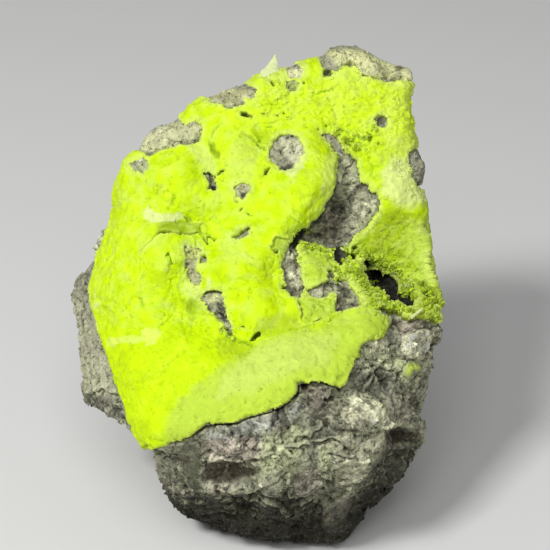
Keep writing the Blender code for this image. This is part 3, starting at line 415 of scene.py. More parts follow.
# Where the rock shows through the crust: how high it stands there, in millimetres, and the outline.
BARE_OUTLINES = {
    "left_rim": (1.1, [(136, 152), (146, 143), (152, 136), (158, 130), (170, 124), (180, 121), (187, 128),
        (200, 124), (203, 131), (193, 141), (182, 142), (170, 146), (157, 150), (150, 155)]),
    "grey_streak": (1.1, [(199, 103), (208, 94), (222, 87), (236, 87), (256, 92), (253, 99), (244, 102),
        (240, 107), (230, 108), (224, 104), (212, 104)]),
    "small_window": (0.9, [(134, 167), (140, 162), (148, 161), (151, 167), (146, 173), (138, 173)]),
    "upper_slot": (0.2, [(202, 175), (207, 174), (214, 177), (215, 185), (218, 187), (217, 193), (210, 193),
        (208, 186), (206, 181)]),
    "speckle": (0.8, [(236, 190), (240, 186), (246, 185), (252, 188), (251, 193), (247, 196), (245, 200),
        (240, 198), (238, 193)]),
    "bean": (0.0, [(235, 239), (242, 234), (249, 229), (251, 231), (245, 240), (241, 243), (236, 242)]),
    "long_slot": (0.9, [(181, 251), (190, 251), (199, 252), (200, 258), (196, 265), (198, 272), (203, 278),
        (201, 285), (195, 284), (190, 276), (188, 266), (184, 258)]),
    "eye": (0.2, [(201, 259), (206, 258), (207, 263), (202, 264)]),
    "deep_slot": (0.4, [(203, 298), (208, 292), (216, 289), (224, 291), (227, 301), (231, 311), (236, 328),
        (228, 326), (217, 315), (209, 307)]),
    "left_crack": (-0.8, [(289, 246), (293, 235), (304, 229), (309, 233), (301, 240), (296, 248)]),
    "slot_foot": (0.5, [(226, 328), (234, 330), (237, 337), (231, 339)]),
    "round_window": (0.8, [(271, 150), (275, 142), (282, 139), (291, 138), (298, 141), (303, 147),
        (303, 156), (300, 165), (293, 172), (286, 174), (279, 171), (273, 164), (270, 156)]),
    "grey_oval": (1.2, [(287, 74), (292, 70), (300, 70), (304, 75), (300, 80), (291, 81)]),
    "under_oval": (0.9, [(286, 84), (294, 83), (299, 86), (296, 92), (288, 90)]),
    "top_hole": (-0.8, [(322, 73), (327, 71), (332, 74), (329, 78), (323, 78)]),
    "top_rim": (1.1, [(318, 40), (320, 62), (325, 70), (335, 69), (342, 63), (352, 60), (358, 65),
        (362, 71), (372, 75), (385, 77), (402, 76), (416, 83), (424, 60), (380, 40)]),
    "right_pit": (0.5, [(374, 121), (380, 118), (386, 119), (386, 125), (380, 128), (375, 126)]),
    "grey_band": (0.9, [(322, 138), (330, 135), (338, 139), (342, 148), (346, 158), (338, 157),
        (332, 147)]),
    "right_rim": (0.9, [(430, 146), (418, 148), (407, 157), (412, 165), (414, 172), (419, 183), (424, 192),
        (434, 190)]),
    "right_nick": (0.9, [(438, 222), (424, 226), (426, 234), (431, 242), (440, 240)]),
    "main": (0.45, [(337, 158), (334, 172), (332, 185), (329, 197), (321, 208), (315, 217), (304, 230),
        (294, 236), (290, 241), (303, 240), (312, 244), (325, 247), (330, 252), (331, 264), (338, 269),
        (346, 262), (345, 247), (353, 234), (366, 224), (376, 213), (380, 201), (373, 192), (366, 185),
        (358, 180), (358, 170), (350, 156)]),
    "strip": (0.5, [(279, 262), (281, 278), (283, 291), (290, 301), (299, 298), (303, 290), (300, 271),
        (297, 260), (297, 247), (289, 247), (284, 254)]),
    "hook": (0.5, [(308, 293), (323, 284), (345, 283), (351, 290), (361, 307), (342, 314), (337, 314),
        (336, 300), (333, 293), (322, 299), (312, 301)]),
    "cavity_gap_1": (-1.0, [(347, 253), (355, 255), (357, 262), (350, 264)]),
    "cavity_gap_2": (-1.0, [(359, 260), (371, 261), (373, 268), (362, 270)]),
    "cavity_gap_3": (-1.0, [(367, 269), (380, 271), (382, 282), (371, 282)]),
    "cavity": (-1.0, [(380, 281), (384, 272), (392, 277), (397, 284), (399, 294), (404, 299), (411, 297),
        (414, 303), (411, 309), (402, 304), (396, 301), (391, 305), (387, 295), (382, 289)]),
    "olive_hole": (0.1, [(324, 275), (328, 273), (332, 278), (330, 284), (325, 281)]),
}  # fmt: skip

# Coloured areas of the crust: colour, strength, softness in cells, and outline.
CRUST_ZONES = {
    "lower_band": (BAND, 0.85, 9, [(160, 452), (166, 428), (185, 398), (206, 384), (222, 369), (252, 352),
        (266, 340), (290, 332), (320, 331), (345, 320), (380, 312), (396, 322), (380, 345), (345, 392),
        (305, 384), (292, 410), (240, 424), (200, 432)]),
    "band_middle": (PALE, 0.45, 12, [(225, 380), (262, 352), (300, 338), (340, 340), (330, 365), (290, 378),
        (255, 395), (215, 400)]),
    # painted shade on the crust's wall in the hollow, where it faces down
    "right_wall": (OLIVE, 0.55, 7, [(352, 236), (362, 226), (378, 212), (395, 207), (416, 214), (424, 226),
        (430, 250), (436, 272), (418, 275), (398, 268), (376, 262), (352, 250)]),
    "right_wall_light": (BAND, 0.8, 9, [(404, 222), (424, 226), (438, 262), (444, 300), (430, 300),
        (414, 262), (400, 244)]),
    # painted shade in the gaps round the cavity
    "cavity_rim_shade": (OLIVE, 0.8, 7, [(350, 262), (378, 262), (415, 280), (446, 300), (450, 326), (410, 316),
        (380, 300), (356, 290)]),
    "right_block": (BRIGHT_BONE, 0.85, 9, [(388, 158), (404, 154), (412, 170), (420, 190), (424, 206),
        (396, 204), (382, 196), (380, 176)]),
    "right_edge": (BRIGHT_PALE, 0.5, 8, [(388, 84), (414, 82), (412, 112), (416, 140), (404, 156),
        (384, 150), (376, 120)]),
    # pale crust, lightened further as painted light where less light falls
    "top_right_pale_and_lit": (BRIGHT_PALE, 0.4, 10, [(334, 66), (362, 70), (376, 84), (350, 108), (334, 122),
        (324, 96)]),
    "top_edge": (PALE, 0.5, 6, [(202, 97), (232, 84), (262, 72), (284, 68), (302, 60), (306, 74), (286, 84),
        (262, 84), (236, 92), (212, 98)]),
    "window_halo_left": (PALE, 0.6, 6, [(186, 146), (205, 148), (218, 166), (218, 182), (204, 174),
        (190, 160)]),
    "upper_left_pale": (PALE, 0.5, 5, [(160, 124), (176, 120), (180, 128), (166, 134)]),
    "u_patch": (BONE, 0.8, 3, [(148, 210), (153, 206), (157, 214), (166, 214), (176, 208), (180, 211),
        (181, 216), (172, 222), (163, 228), (153, 228), (148, 219)]),
    "bar_stem": (BRIGHT_PALE, 0.7, 2, [(113, 339), (130, 338), (148, 337), (148, 344), (130, 344),
        (114, 346)]),
    "bar_cap": (BRIGHT_PALE, 0.7, 2, [(149, 331), (152, 328), (161, 327), (160, 337), (157, 348),
        (147, 349)]),
    "slot_pale": (PALE, 0.75, 5, [(182, 272), (190, 284), (206, 286), (206, 298), (194, 302), (184, 290)]),
    "slot_triangle": (BONE, 0.6, 3, [(213, 273), (217, 280), (216, 290), (210, 290)]),
    "slot_top": (BONE, 0.6, 4, [(177, 250), (200, 247), (202, 256), (184, 258)]),
    "left_fleck": (BONE, 0.6, 2, [(99, 303), (108, 299), (106, 305), (100, 306)]),
    "right_of_slot": (PALE, 0.35, 8, [(228, 232), (242, 244), (250, 262), (232, 268), (222, 252)]),
    "plate_facet": (BAND, 0.9, 3, [(272, 238), (292, 238), (290, 252), (280, 256), (274, 248)]),
    "crescent_plates": (BAND, 0.75, 6, [(292, 252), (316, 244), (346, 258), (358, 280), (378, 286),
        (378, 310), (346, 316), (318, 326), (300, 328), (290, 300), (300, 296)]),
    "plate_light": (LIME, 0.5, 8, [(340, 262), (352, 268), (364, 290), (360, 300), (352, 284), (338, 276)]),
    "pocket_shade": (OLIVE, 0.75, 5, [(160, 226), (180, 222), (200, 224), (212, 240), (204, 240),
        (186, 239), (168, 238), (158, 238)]),
    "pocket_spot": (OLIVE, 0.8, 3, [(183, 213), (190, 214), (190, 222), (184, 222)]),
    "outline_strip": (BONE, 0.8, 3, [(168, 122), (176, 112), (205, 95), (235, 82), (262, 70), (266, 77),
        (240, 88), (210, 101), (182, 116)]),
    "slot_shade": (OLIVE, 0.5, 7, [(180, 300), (204, 302), (214, 318), (196, 318), (182, 312)]),
    "middle_shade": (OLIVE, 0.45, 8, [(262, 316), (288, 318), (298, 330), (282, 336), (262, 336),
        (256, 326)]),
    "foot_shade": (OLIVE, 0.4, 7, [(218, 344), (250, 340), (262, 350), (246, 360), (220, 362)]),
    "ledge_shade": (OLIVE, 0.4, 5, [(250, 134), (268, 136), (272, 146), (266, 154), (256, 146)]),
    "crescent_shade": (OLIVE, 0.5, 3, [(211, 142), (216, 148), (224, 156), (219, 160), (213, 152)]),
    "top_shade": (DEEP_LIME, 0.8, 8, [(246, 98), (282, 100), (330, 100), (326, 112), (286, 110),
        (256, 108)]),
    "centre_pale": (PALE, 0.35, 10, [(240, 142), (262, 150), (256, 178), (232, 190), (226, 166)]),
    "upper_plates": (BRIGHT_LIME, 0.6, 12, [(210, 100), (330, 84), (410, 90), (408, 140), (340, 128),
        (226, 130)]),
    "round_halo": (BONE, 0.8, 4, [(296, 140), (304, 148), (304, 170), (296, 180), (284, 176), (296, 166)]),
    "near_window": (PALE, 0.5, 5, [(322, 160), (332, 150), (336, 170), (330, 196), (318, 208), (318, 190)]),
    # painted shade round the cavity's mouth
    "mouth_shade": (SHADE, 0.85, 4, [(380, 270), (404, 276), (416, 300), (408, 306), (392, 296), (384, 284)]),
    "corner_shade": (OLIVE, 0.5, 4, [(141, 443), (152, 440), (160, 448), (152, 453), (142, 452)]),
}  # fmt: skip

# Coloured areas of the bare rock, the same way.
ROCK_ZONES = {
    "left_side": (LIGHT_GREY, 0.5, 8, [(76, 288), (92, 300), (104, 340), (120, 390), (84, 398), (76, 340)]),
    # painted shade under the undercut left face
    "left_low": (DARK_GREY, 0.6, 6, [(80, 396), (124, 398), (134, 436), (108, 420), (80, 406)]),
    "nodules": (PINK_GREY, 0.8, 7, [(204, 438), (240, 434), (266, 440), (262, 460), (228, 462),
        (206, 456)]),
    "quartz": (DIM_QUARTZ, 0.8, 6, [(180, 448), (202, 440), (204, 480), (198, 496), (180, 486)]),
    # brown stone, darkened further by painted shade in the hollow
    "brown_hollow": (BROWN, 1.0, 4, [(203, 463), (228, 461), (252, 465), (266, 472), (244, 478), (226, 484),
        (206, 480)]),
    "granular": (LIGHT_GREY, 0.6, 9, [(322, 440), (350, 430), (384, 446), (378, 470), (348, 486),
        (326, 480)]),
    # brown stone, darkened further by painted shade in the recess
    "conchoid": (BROWN, 1.0, 4, [(384, 431), (400, 427), (418, 433), (421, 442), (404, 443), (386, 446)]),
    "conchoid_lip": (LIGHT_GREY, 0.8, 2, [(382, 428), (398, 421), (414, 424), (412, 428), (399, 426),
        (386, 432)]),
    "conchoid_lens": (LIGHT_GREY, 0.7, 2, [(388, 447), (402, 442), (416, 445), (412, 449), (398, 450)]),
    "green_slope": (GREEN_GREY, 0.6, 12, [(262, 436), (300, 424), (306, 450), (290, 482), (256, 480)]),
    "green_streak": (GREEN_GREY, 0.6, 6, [(318, 446), (330, 444), (332, 472), (320, 476)]),
    "bright_ridge": (GREY, 0.6, 7, [(238, 478), (280, 470), (296, 476), (284, 490), (242, 492)]),
    "lit_facet": (LIGHT_GREY, 0.65, 8, [(340, 398), (372, 396), (392, 422), (378, 448), (350, 462),
        (338, 430)]),
    "dark_band": (DARK_GREY, 0.6, 7, [(352, 372), (372, 368), (402, 372), (404, 392), (376, 394),
        (352, 388)]),
    "speckled": (DARK_GREY, 0.45, 8, [(290, 408), (318, 400), (332, 420), (318, 440), (288, 424)]),
    "shadowed_edge": (DARK_GREY, 0.25, 5, [(190, 436), (206, 426), (250, 422), (284, 410), (282, 420),
        (246, 434), (204, 440)]),
    "blue_ledge": (BLUE_GREY, 0.7, 5, [(206, 432), (236, 423), (284, 412), (300, 400), (304, 408),
        (290, 424), (262, 432), (228, 440), (208, 441)]),
    "rusty_nick": (RUST, 0.9, 3, [(299, 381), (308, 386), (313, 392), (302, 390)]),
    "pink_nick": (PINK_GREY, 0.7, 6, [(304, 390), (324, 388), (330, 404), (312, 410)]),
    "corner_pink": (PINK_GREY, 0.6, 7, [(396, 322), (416, 320), (420, 336), (400, 340)]),
    "corner_pale": (LIGHT_GREY, 0.6, 5, [(426, 318), (446, 320), (444, 328), (428, 328)]),
    # painted shade on the lower right, turned away from the light
    "lower_lumps_shade": (DARK_GREY, 0.7, 8, [(388, 446), (420, 446), (412, 472), (384, 492), (366, 470)]),
    "under_crust_green": (GREEN_GREY, 0.5, 8, [(356, 350), (398, 348), (400, 366), (362, 368)]),
    "patch_halo": (GREEN_GREY, 0.7, 8, [(396, 358), (420, 354), (424, 376), (402, 386), (392, 372)]),
    # painted shadow of the upper plate on the bare rock beside it, in brown
    "window_shadow": (BROWN, 0.5, 6, [(330, 200), (340, 198), (352, 208), (344, 226), (332, 246), (308, 240),
        (306, 230)]),
    "window_upper": (LIGHT_GREY, 0.5, 5, [(336, 156), (348, 156), (360, 182), (346, 200), (334, 196)]),
    "window_light": (LIGHT_GREY, 0.9, 4, [(344, 152), (356, 162), (356, 182), (344, 200), (338, 180)]),
    "window_right": (LIGHT_GREY, 0.7, 6, [(358, 186), (378, 202), (366, 224), (352, 232), (352, 206)]),
    "window_plum": (PINK_GREY, 0.6, 3, [(322, 212), (334, 210), (340, 220), (328, 224)]),
    "strip_pale": (LIGHT_GREY, 0.9, 3, [(281, 270), (298, 272), (298, 282), (284, 284)]),
    "strip_low": (LIGHT_GREY, 0.8, 3, [(284, 284), (302, 282), (302, 296), (292, 300)]),
    "hook": (DIM_STONE, 0.4, 4, [(336, 284), (352, 286), (360, 306), (336, 314)]),
    "hook_left": (LIGHT_GREY, 0.6, 4, [(308, 290), (336, 286), (336, 298), (312, 300)]),
    "round_pale": (LIGHT_GREY, 1.0, 4, [(282, 138), (300, 140), (304, 160), (292, 167), (280, 156)]),
    # painted shade in the lower part of the round window's pit
    "round_shade": (DARK_GREY, 0.6, 3, [(276, 160), (288, 158), (294, 168), (284, 174), (276, 168)]),
    "top_rim": (PALE_STONE, 0.9, 6, [(322, 50), (360, 50), (420, 72), (418, 84), (366, 78), (340, 66)]),
    "left_rim": (LIGHT_GREY, 0.5, 5, [(136, 150), (162, 124), (200, 126), (196, 146), (160, 152)]),
    "slot_bone": (PALE_STONE, 0.7, 3, [(204, 292), (218, 288), (218, 300), (208, 304)]),
    # painted shadow under the crust that overhangs the deep slot
    "slot_shadow": (DARK_GREY, 0.8, 3, [(216, 300), (222, 300), (232, 322), (226, 326), (218, 312)]),
    "right_rim": (GREY, 0.7, 4, [(410, 150), (424, 148), (426, 186), (416, 182)]),
    "left_rim_lilac": (PALE_STONE, 0.5, 4, [(140, 152), (150, 134), (170, 122), (206, 122), (204, 140),
        (160, 152)]),
    "streak_lilac": (LILAC_GREY, 0.9, 3, [(200, 100), (212, 90), (256, 90), (250, 100), (228, 106)]),
    "small_lilac": (GREEN_GREY, 0.85, 2, [(136, 163), (150, 161), (150, 173), (138, 173)]),
    "long_slot_top": (STRAW_STONE, 1.0, 3, [(178, 248), (204, 246), (202, 258), (184, 260)]),
    "long_slot_low": (LILAC_GREY, 0.6, 3, [(184, 258), (200, 258), (206, 288), (192, 288)]),
    "speckle_lilac": (LILAC_GREY, 0.7, 2, [(234, 184), (254, 184), (252, 196), (236, 196)]),
    "under_oval": (OLIVE, 0.6, 2, [(284, 82), (301, 82), (299, 93), (286, 92)]),
    "oval_lilac": (PALE_STONE, 0.7, 2, [(285, 68), (306, 68), (304, 82), (288, 82)]),
    "corner_light": (LIGHT_GREY, 0.7, 6, [(400, 336), (436, 328), (440, 350), (430, 368), (404, 364)]),
    # The next two: painted shade under the rock and down its right side, where little light falls.
    "underside": (DEEP_SHADE, 0.85, 10, [(186, 492), (232, 494), (290, 494), (322, 500), (330, 560),
        (190, 560)]),
    "right_low": (DEEP_SHADE, 0.75, 10, [(384, 448), (430, 440), (430, 520), (350, 540), (356, 500)]),
}  # fmt: skip

# Depths of the rock where no light gets in, the same way.
ROCK_DEPTHS = {
    "glassy_pit": (BLACK, 0.85, 3, [(331, 246), (345, 246), (346, 264), (338, 273), (331, 264)]),
    "cavity": (BLACK, 0.97, 3, [(346, 246), (364, 256), (392, 268), (408, 280), (420, 304), (412, 314),
        (380, 302), (366, 284), (350, 266)]),
    "left_crack": (BLACK, 0.95, 2, [(289, 247), (292, 235), (303, 229), (308, 232), (300, 240),
        (296, 249)]),
    "strip_crack": (BLACK, 0.8, 1.5, [(293, 258), (296, 258), (299, 268), (296, 268)]),
    "speckle_black": (BLACK, 0.9, 1.5, [(241, 192), (248, 193), (246, 199), (241, 198)]),
    "speckle_dot": (BLACK, 0.8, 1, [(237, 188), (240, 188), (240, 191), (237, 190)]),
    "slot_black": (BLACK, 0.85, 2, [(210, 186), (218, 186), (218, 193), (211, 193)]),
    "round_foot": (BLACK, 0.7, 3, [(280, 166), (294, 166), (292, 173), (282, 173)]),
    "round_left_dot": (BLACK, 0.9, 1, [(279, 151), (283, 151), (283, 155), (280, 154)]),
    "round_right_dot": (BLACK, 0.9, 1, [(293, 149), (296, 150), (295, 153), (292, 152)]),
    "window_foot": (BLACK, 0.6, 3, [(333, 182), (337, 184), (334, 196), (328, 208), (318, 222), (308, 234),
        (300, 232), (320, 206), (330, 190)]),
}  # fmt: skip

# Where the crust is crumbly: strength, softness in cells, and outline.
CRUMBLY_ZONES = {
    "cavity_side": (1.0, 10, [(340, 240), (362, 244), (392, 262), (440, 268), (452, 322), (412, 318),
        (376, 312), (352, 290)]),
    "top_crumbs": (0.7, 10, [(332, 128), (362, 118), (384, 118), (390, 150), (358, 156), (336, 154)]),
    "slot_crumbs": (0.7, 6, [(220, 326), (238, 322), (244, 340), (228, 346)]),
    "upper_grit": (0.45, 14, [(262, 76), (330, 84), (410, 84), (412, 140), (340, 130), (262, 112)]),
    "right_grit": (0.35, 14, [(384, 150), (412, 160), (426, 210), (384, 200)]),
    "right_wall": (0.35, 12, [(354, 236), (380, 212), (420, 216), (436, 268), (392, 262)]),
    "curl_grit": (0.3, 8, [(294, 240), (346, 254), (378, 284), (376, 310), (330, 322), (304, 328),
        (298, 300)]),
}  # fmt: skip

# Parts of the bare rock that broke along smoother faces, the same way.
CALM_ZONES = {
    "left_side": (1.0, 12, [(60, 270), (96, 270), (96, 300), (112, 340), (130, 400), (84, 402), (60, 340)]),
    "conchoid": (0.9, 5, [(382, 430), (400, 424), (420, 430), (422, 446), (404, 452), (386, 450)]),
    "brown_hollow": (0.9, 5, [(203, 461), (230, 459), (266, 464), (262, 478), (226, 484), (204, 482)]),
    "quartz": (0.7, 6, [(176, 446), (204, 440), (204, 492), (178, 486)]),
    "nub": (0.7, 8, [(322, 500), (356, 500), (352, 545), (322, 545)]),
}  # fmt: skip

# Rings of the blade on the rim: column, row and half width in cells, thickness in millimetres.
SPIKE_RINGS = (
    (266, 82, 8, 1.2), (267, 78, 9.5, 1.4), (269, 74, 10, 1.3), (271, 70.5, 9, 1.1), (271.5, 68, 6.4, 0.9),
    (272.4, 65, 5.6, 0.8), (273.4, 62, 4.4, 0.7), (274.3, 59, 3.0, 0.6), (275, 56.5, 1.6, 0.45),
    (275.4, 54.6, 0.6, 0.3),
)  # fmt: skip

noise.seed_set(SEED)  # the facets lean the same way in every run


# --- measures on arrays of points and cells ---
def smoothstep(low, high, value):
    share = np.clip((value - low) / (high - low), 0, 1)
    return share * share * (3 - 2 * share)


def unit(vectors):
    return vectors / np.maximum(np.linalg.norm(vectors, axis=1), 1e-12)[:, None]


def cells_of(points):
    """The cell at which the eye sees each point."""
    offset = points - FACE_MIDDLE
    nearness = EYE_DISTANCE / (EYE_DISTANCE - offset @ OUT)
    column = GRID_MIDDLE[0] + offset @ RIGHT * nearness / CELL
    row = GRID_MIDDLE[1] - offset @ UP * nearness / CELL
    return np.column_stack([column, row])


def on_grid(column, row):
    """A cell's place on the grid's plane."""
    return FACE_MIDDLE + (column - GRID_MIDDLE[0]) * CELL * RIGHT + (GRID_MIDDLE[1] - row) * CELL * UP


def facing_eye(points, normals):
    """How squarely each point meets the eye: 1 head on, negative where it is turned away."""
    return (normals * unit(EYE - points)).sum(axis=1)


def in_front(facing):
    return smoothstep(*SHAPE_LOOK, facing)


def softened(values, edges, degree, rounds):
    """The values averaged with their neighbours', that many times."""
    first, second = edges.T
    for _ in range(rounds):
        total = np.bincount(first, values[second], len(values))
        total += np.bincount(second, values[first], len(values))
        values = (values + total / degree) / 2
    return values


def quad_sides(quads):
    return np.concatenate([quads[:, [i, (i + 1) % 4]] for i in range(4)])


def read(elements, name, kind, width=3):
    """One attribute of all of a mesh's elements, as rows."""
    values = np.empty(len(elements) * width, kind)
    elements.foreach_get(name, values)
    return values.reshape(-1, width)


# --- patterns ---
def perlin(points, size, seed=0.0):
    """Smooth noise from about -1 to 1, whose bumps are about size across."""
    scaled = (points / size + seed * SEED_SHIFT).tolist()
    return np.array([noise.noise(point) for point in scaled])


def fractal(points, size, octaves, seed=0.0):
    """Perlin noise in octaves, each half the size and strength of the last."""
    total = np.zeros(len(points))
    for octave in range(octaves):
        total += perlin(points, size / 2**octave, seed + octave) / 2**octave
    return total


def ridges(points, size, seed=0.0):
    """Sharp winding ridges about size apart: heights from about -0.5 to 0.5."""
    return 0.5 - np.minimum(2 * np.abs(perlin(points, size, seed)), 1)


def creases(points, size, width, seed=0.0):
    """Winding lines, 1 in their middles, that fade in and out."""
    line = 1 - smoothstep(0, width, np.abs(perlin(points, size, seed)))
    return line * smoothstep(-0.1, 0.3, perlin(points, 1.3 * size, seed + 0.5))


def grain_cells(points, size, seed):
    """Each point in the grains' scale, its distances to the nearest grains' middles, and those middles."""
    for point in (points / size + seed * SEED_SHIFT).tolist():
        distances, middles = noise.voronoi(point)
        yield Vector(point), distances, middles


def into_grain(distances):
    return min(1.0, (distances[1] - distances[0]) * 2)


def facets(points, size, seed=0.0):
    """Flat facets about size across, each tilted its own way: heights from about -0.5 to 0.5."""
    heights = []
    for point, _, middles in grain_cells(points, size, seed):
        lean = noise.noise_vector(middles[0] * FACET_SHUFFLE)
        heights.append((point - middles[0]).dot(lean))
    return np.array(heights)


def grains(points, size, seed=0.0):
    """Rounded grains about size across: 1 in their middles, 0 in the seams between them."""
    return np.array([into_grain(distances) for _, distances, _ in grain_cells(points, size, seed)])


def grain_values(points, size, seed):
    """For each point, how far into its grain it lies and the grain's own value, from about -1 to 1."""
    depths = []
    values = []
    for _, distances, middles in grain_cells(points, size, seed):
        depths.append(into_grain(distances))
        values.append(noise.noise(middles[0] * TONE_SHUFFLE) * 1.6)
    return np.array(depths), np.array(values)


def layered(pattern, points, layers):
    """A pattern laid on several times: layers hold each one's height, then the pattern's own measures."""
    return sum(height * pattern(points, *measures) for height, *measures in layers)


def shifts(points, size, octaves, seeds):
    """Smooth random moves, one column for each seed."""
    return np.column_stack([fractal(points, size, octaves, seed) for seed in seeds])


def bent_about(points, reach, size, seed):
    """The points moved about by smooth noise, which turns straight patterns natural."""
    return points + reach * shifts(points, size, 2, (seed, seed + 1, seed + 2))


def drawn_out(points, way, times):
    """The points squeezed along one way, so that a pattern laid on them comes out that many times as long."""
    way = way / np.linalg.norm(way)
    return points - np.outer(points @ way, way) * (1 - 1 / times)


def rock_grain_space(points):
    """Where the rock's grains are read: drawn out along its breaks and bent about."""
    return drawn_out(bent_about(points, 0.6 * MM, 3.2 * MM, 41), BREAK_WAY, 1.25)


def wandering(cells, points):
    """The cells moved about a little, so that authored lines and outlines turn natural."""
    return cells + LINE_WANDER * shifts(points, LINE_WANDER_SIZE, 3, (31, 32))


# --- distances to what is authored ---
def near_line(cells, line, margin):
    return np.all((cells > line.min(axis=0) - margin) & (cells < line.max(axis=0) + margin), axis=1)


def from_segment(spots, start, end):
    """How far along a segment each spot lies, from 0 to 1, and the spot's offset from there."""
    run = end - start
    along = np.clip((spots - start) @ run / (run @ run), 0, 1)
    return along, spots - start - along[:, None] * run


def inside_distance(cells, loop, margin):
    """How far each cell lies inside a closed loop, in cells: negative outside, and -margin at the least."""
    loop = np.array(loop, float)
    distance = np.full(len(cells), -float(margin))
    near = near_line(cells, loop, margin)
    spots = cells[near]
    nearest = np.full(len(spots), np.inf)
    within = np.zeros(len(spots), bool)
    for start, end in zip(loop, np.roll(loop, -1, axis=0)):
        _, offset = from_segment(spots, start, end)
        nearest = np.minimum(nearest, np.linalg.norm(offset, axis=1))
        if start[1] != end[1]:
            crosses = (start[1] > spots[:, 1]) != (end[1] > spots[:, 1])
            meets = start[0] + (spots[:, 1] - start[1]) * (end[0] - start[0]) / (end[1] - start[1])
            within ^= crosses & (spots[:, 0] < meets)
    distance[near] = np.maximum(np.where(within, nearest, -nearest), -margin)
    return distance


def line_distance(cells, line, margin):
    """Each cell's distance to an open line, its side, positive to the right of the line's way, and how far
    along the line it lies, from 0 to 1."""
    line = np.array(line, float)
    distance = np.full(len(cells), float(margin))
    side_of = np.ones(len(cells))
    share_of = np.zeros(len(cells))
    near = near_line(cells, line, margin)
    spots = cells[near]
    nearest = np.full(len(spots), np.inf)
    sides = np.ones(len(spots))
    shares = np.zeros(len(spots))
    lengths = np.concatenate([[0], np.cumsum(np.linalg.norm(np.diff(line, axis=0), axis=1))])
    for start, end, before, after in zip(line[:-1], line[1:], lengths[:-1], lengths[1:]):
        along, offset = from_segment(spots, start, end)
        gap = np.linalg.norm(offset, axis=1)
        run = end - start
        turn = run[0] * offset[:, 1] - run[1] * offset[:, 0]
        sides = np.where(gap < nearest, np.sign(turn), sides)
        shares = np.where(gap < nearest, (before + along * (after - before)) / lengths[-1], shares)
        nearest = np.minimum(nearest, gap)
    distance[near] = np.minimum(nearest, margin)
    side_of[near] = sides
    share_of[near] = shares
    return distance, side_of, share_of


# --- relief and colour from what is authored ---
def taper(share):
    return smoothstep(0, LINE_TAPER, share) * smoothstep(0, LINE_TAPER, 1 - share)


def step_heights(cells, ledges):
    """Each ledge rises beside its line, fades out away from it, and has a groove along its foot."""
    total = np.zeros(len(cells))
    for height, fade, line in ledges.values():
        distance, side, share = line_distance(cells, line, fade)
        signed = distance * side
        raised = smoothstep(-STEP_WIDTH, STEP_WIDTH, signed) * (1 - smoothstep(0, fade, distance))
        foot = (1 - smoothstep(0, STEP_FOOT, distance)) * (signed < 0)
        total += height * taper(share) * (raised - FOOT_SHARE * foot)
    return total


def ledge_highlight_and_shade(cells):
    """Where painted highlight goes along each ledge's thin upper edge and painted shade along its foot, as
    shares from 0 to 1.
    """
    lip_highlight = np.zeros(len(cells))
    foot = np.zeros(len(cells))
    for height, _, line in LEDGES.values():
        distance, side, share = line_distance(cells, line, EDGE_LINES_REACH)
        signed = distance * side
        strength = taper(share) * smoothstep(*EDGE_LINES_FROM, height)
        on_lip = smoothstep(*LIP_RISE, signed) * (1 - smoothstep(*LIP_FALL, signed))
        on_foot = (1 - smoothstep(*FOOT_RISE, signed)) * (1 - smoothstep(*FOOT_FALL, -signed))
        lip_highlight = np.maximum(lip_highlight, strength * on_lip)
        foot = np.maximum(foot, strength * on_foot)
    return lip_highlight, foot


def groove_depths(cells, grooves):
    total = np.zeros(len(cells))
    for depth, half_width, line in grooves.values():
        distance, _, share = line_distance(cells, line, 2 * half_width)
        cut = depth * taper(share) * (1 - smoothstep(*GROOVE_WALL, distance / half_width))
        total = np.maximum(total, cut)
    return total


def pit_depths(cells, pits, unevenness):
    total = np.zeros(len(cells))
    for column, row, half_length, half_width, turn, depth in pits:
        offset = cells - (column, row)
        near = np.abs(offset).max(axis=1) < 2 * half_length
        across, down = offset[near].T
        cosine, sine = math.cos(math.radians(turn)), math.sin(math.radians(turn))
        along = (across * cosine + down * sine) / half_length
        aside = (down * cosine - across * sine) / half_width
        reach = np.hypot(along, aside) * (1 + PIT_RIM_NOISE * unevenness[near])
        total[near] = np.maximum(total[near], depth * (1 - smoothstep(*PIT_WALL, reach)))
    return total


def swell_heights(cells, swells):
    total = np.zeros(len(cells))
    for column, row, radius, height in swells:
        distance = np.hypot(cells[:, 0] - column, cells[:, 1] - row)
        total += height * (1 - smoothstep(0, radius, distance))
    return total


def zone_share(cells, strength, softness, outline):
    inside = inside_distance(cells, outline, softness)
    return strength * smoothstep(-softness / 2, softness / 2, inside)


def strongest_zone(cells, zones):
    return np.max([zone_share(cells, *zone) for zone in zones.values()], axis=0)


def crumbliness(cells, facing):
    return strongest_zone(cells, CRUMBLY_ZONES) * in_front(facing)


def calm_share(cells):
    """1 where the rock is smoother: in the high bare outlines and in the calm zones."""
    share = strongest_zone(cells, CALM_ZONES)
    for rise, outline in BARE_OUTLINES.values():
        if rise > CALM_RISE:
            share = np.maximum(share, smoothstep(-3, 1, inside_distance(cells, outline, 3)))
    return share


def mixed(colours, colour, share):
    return colours + (np.array(colour) - colours) * np.clip(share, 0, 1)[:, None]


def plain(colour, count):
    return np.tile(colour, (count, 1))


def painted(colours, cells, zones, front):
    for colour, *zone in zones.values():
        colours = mixed(colours, colour, front * zone_share(cells, *zone))
    return colours


def shaded(colours, values, shade, share=1.0):
    """The colours with a shade mixed in where the values go from its start to full."""
    colour, strength, start, full = shade
    return mixed(colours, colour, share * strength * smoothstep(start, full, values))


def clouded(colours, points, clouds):
    for *shade, size, octaves, seed in clouds:
        colours = shaded(colours, fractal(points, size, octaves, seed), shade)
    return colours


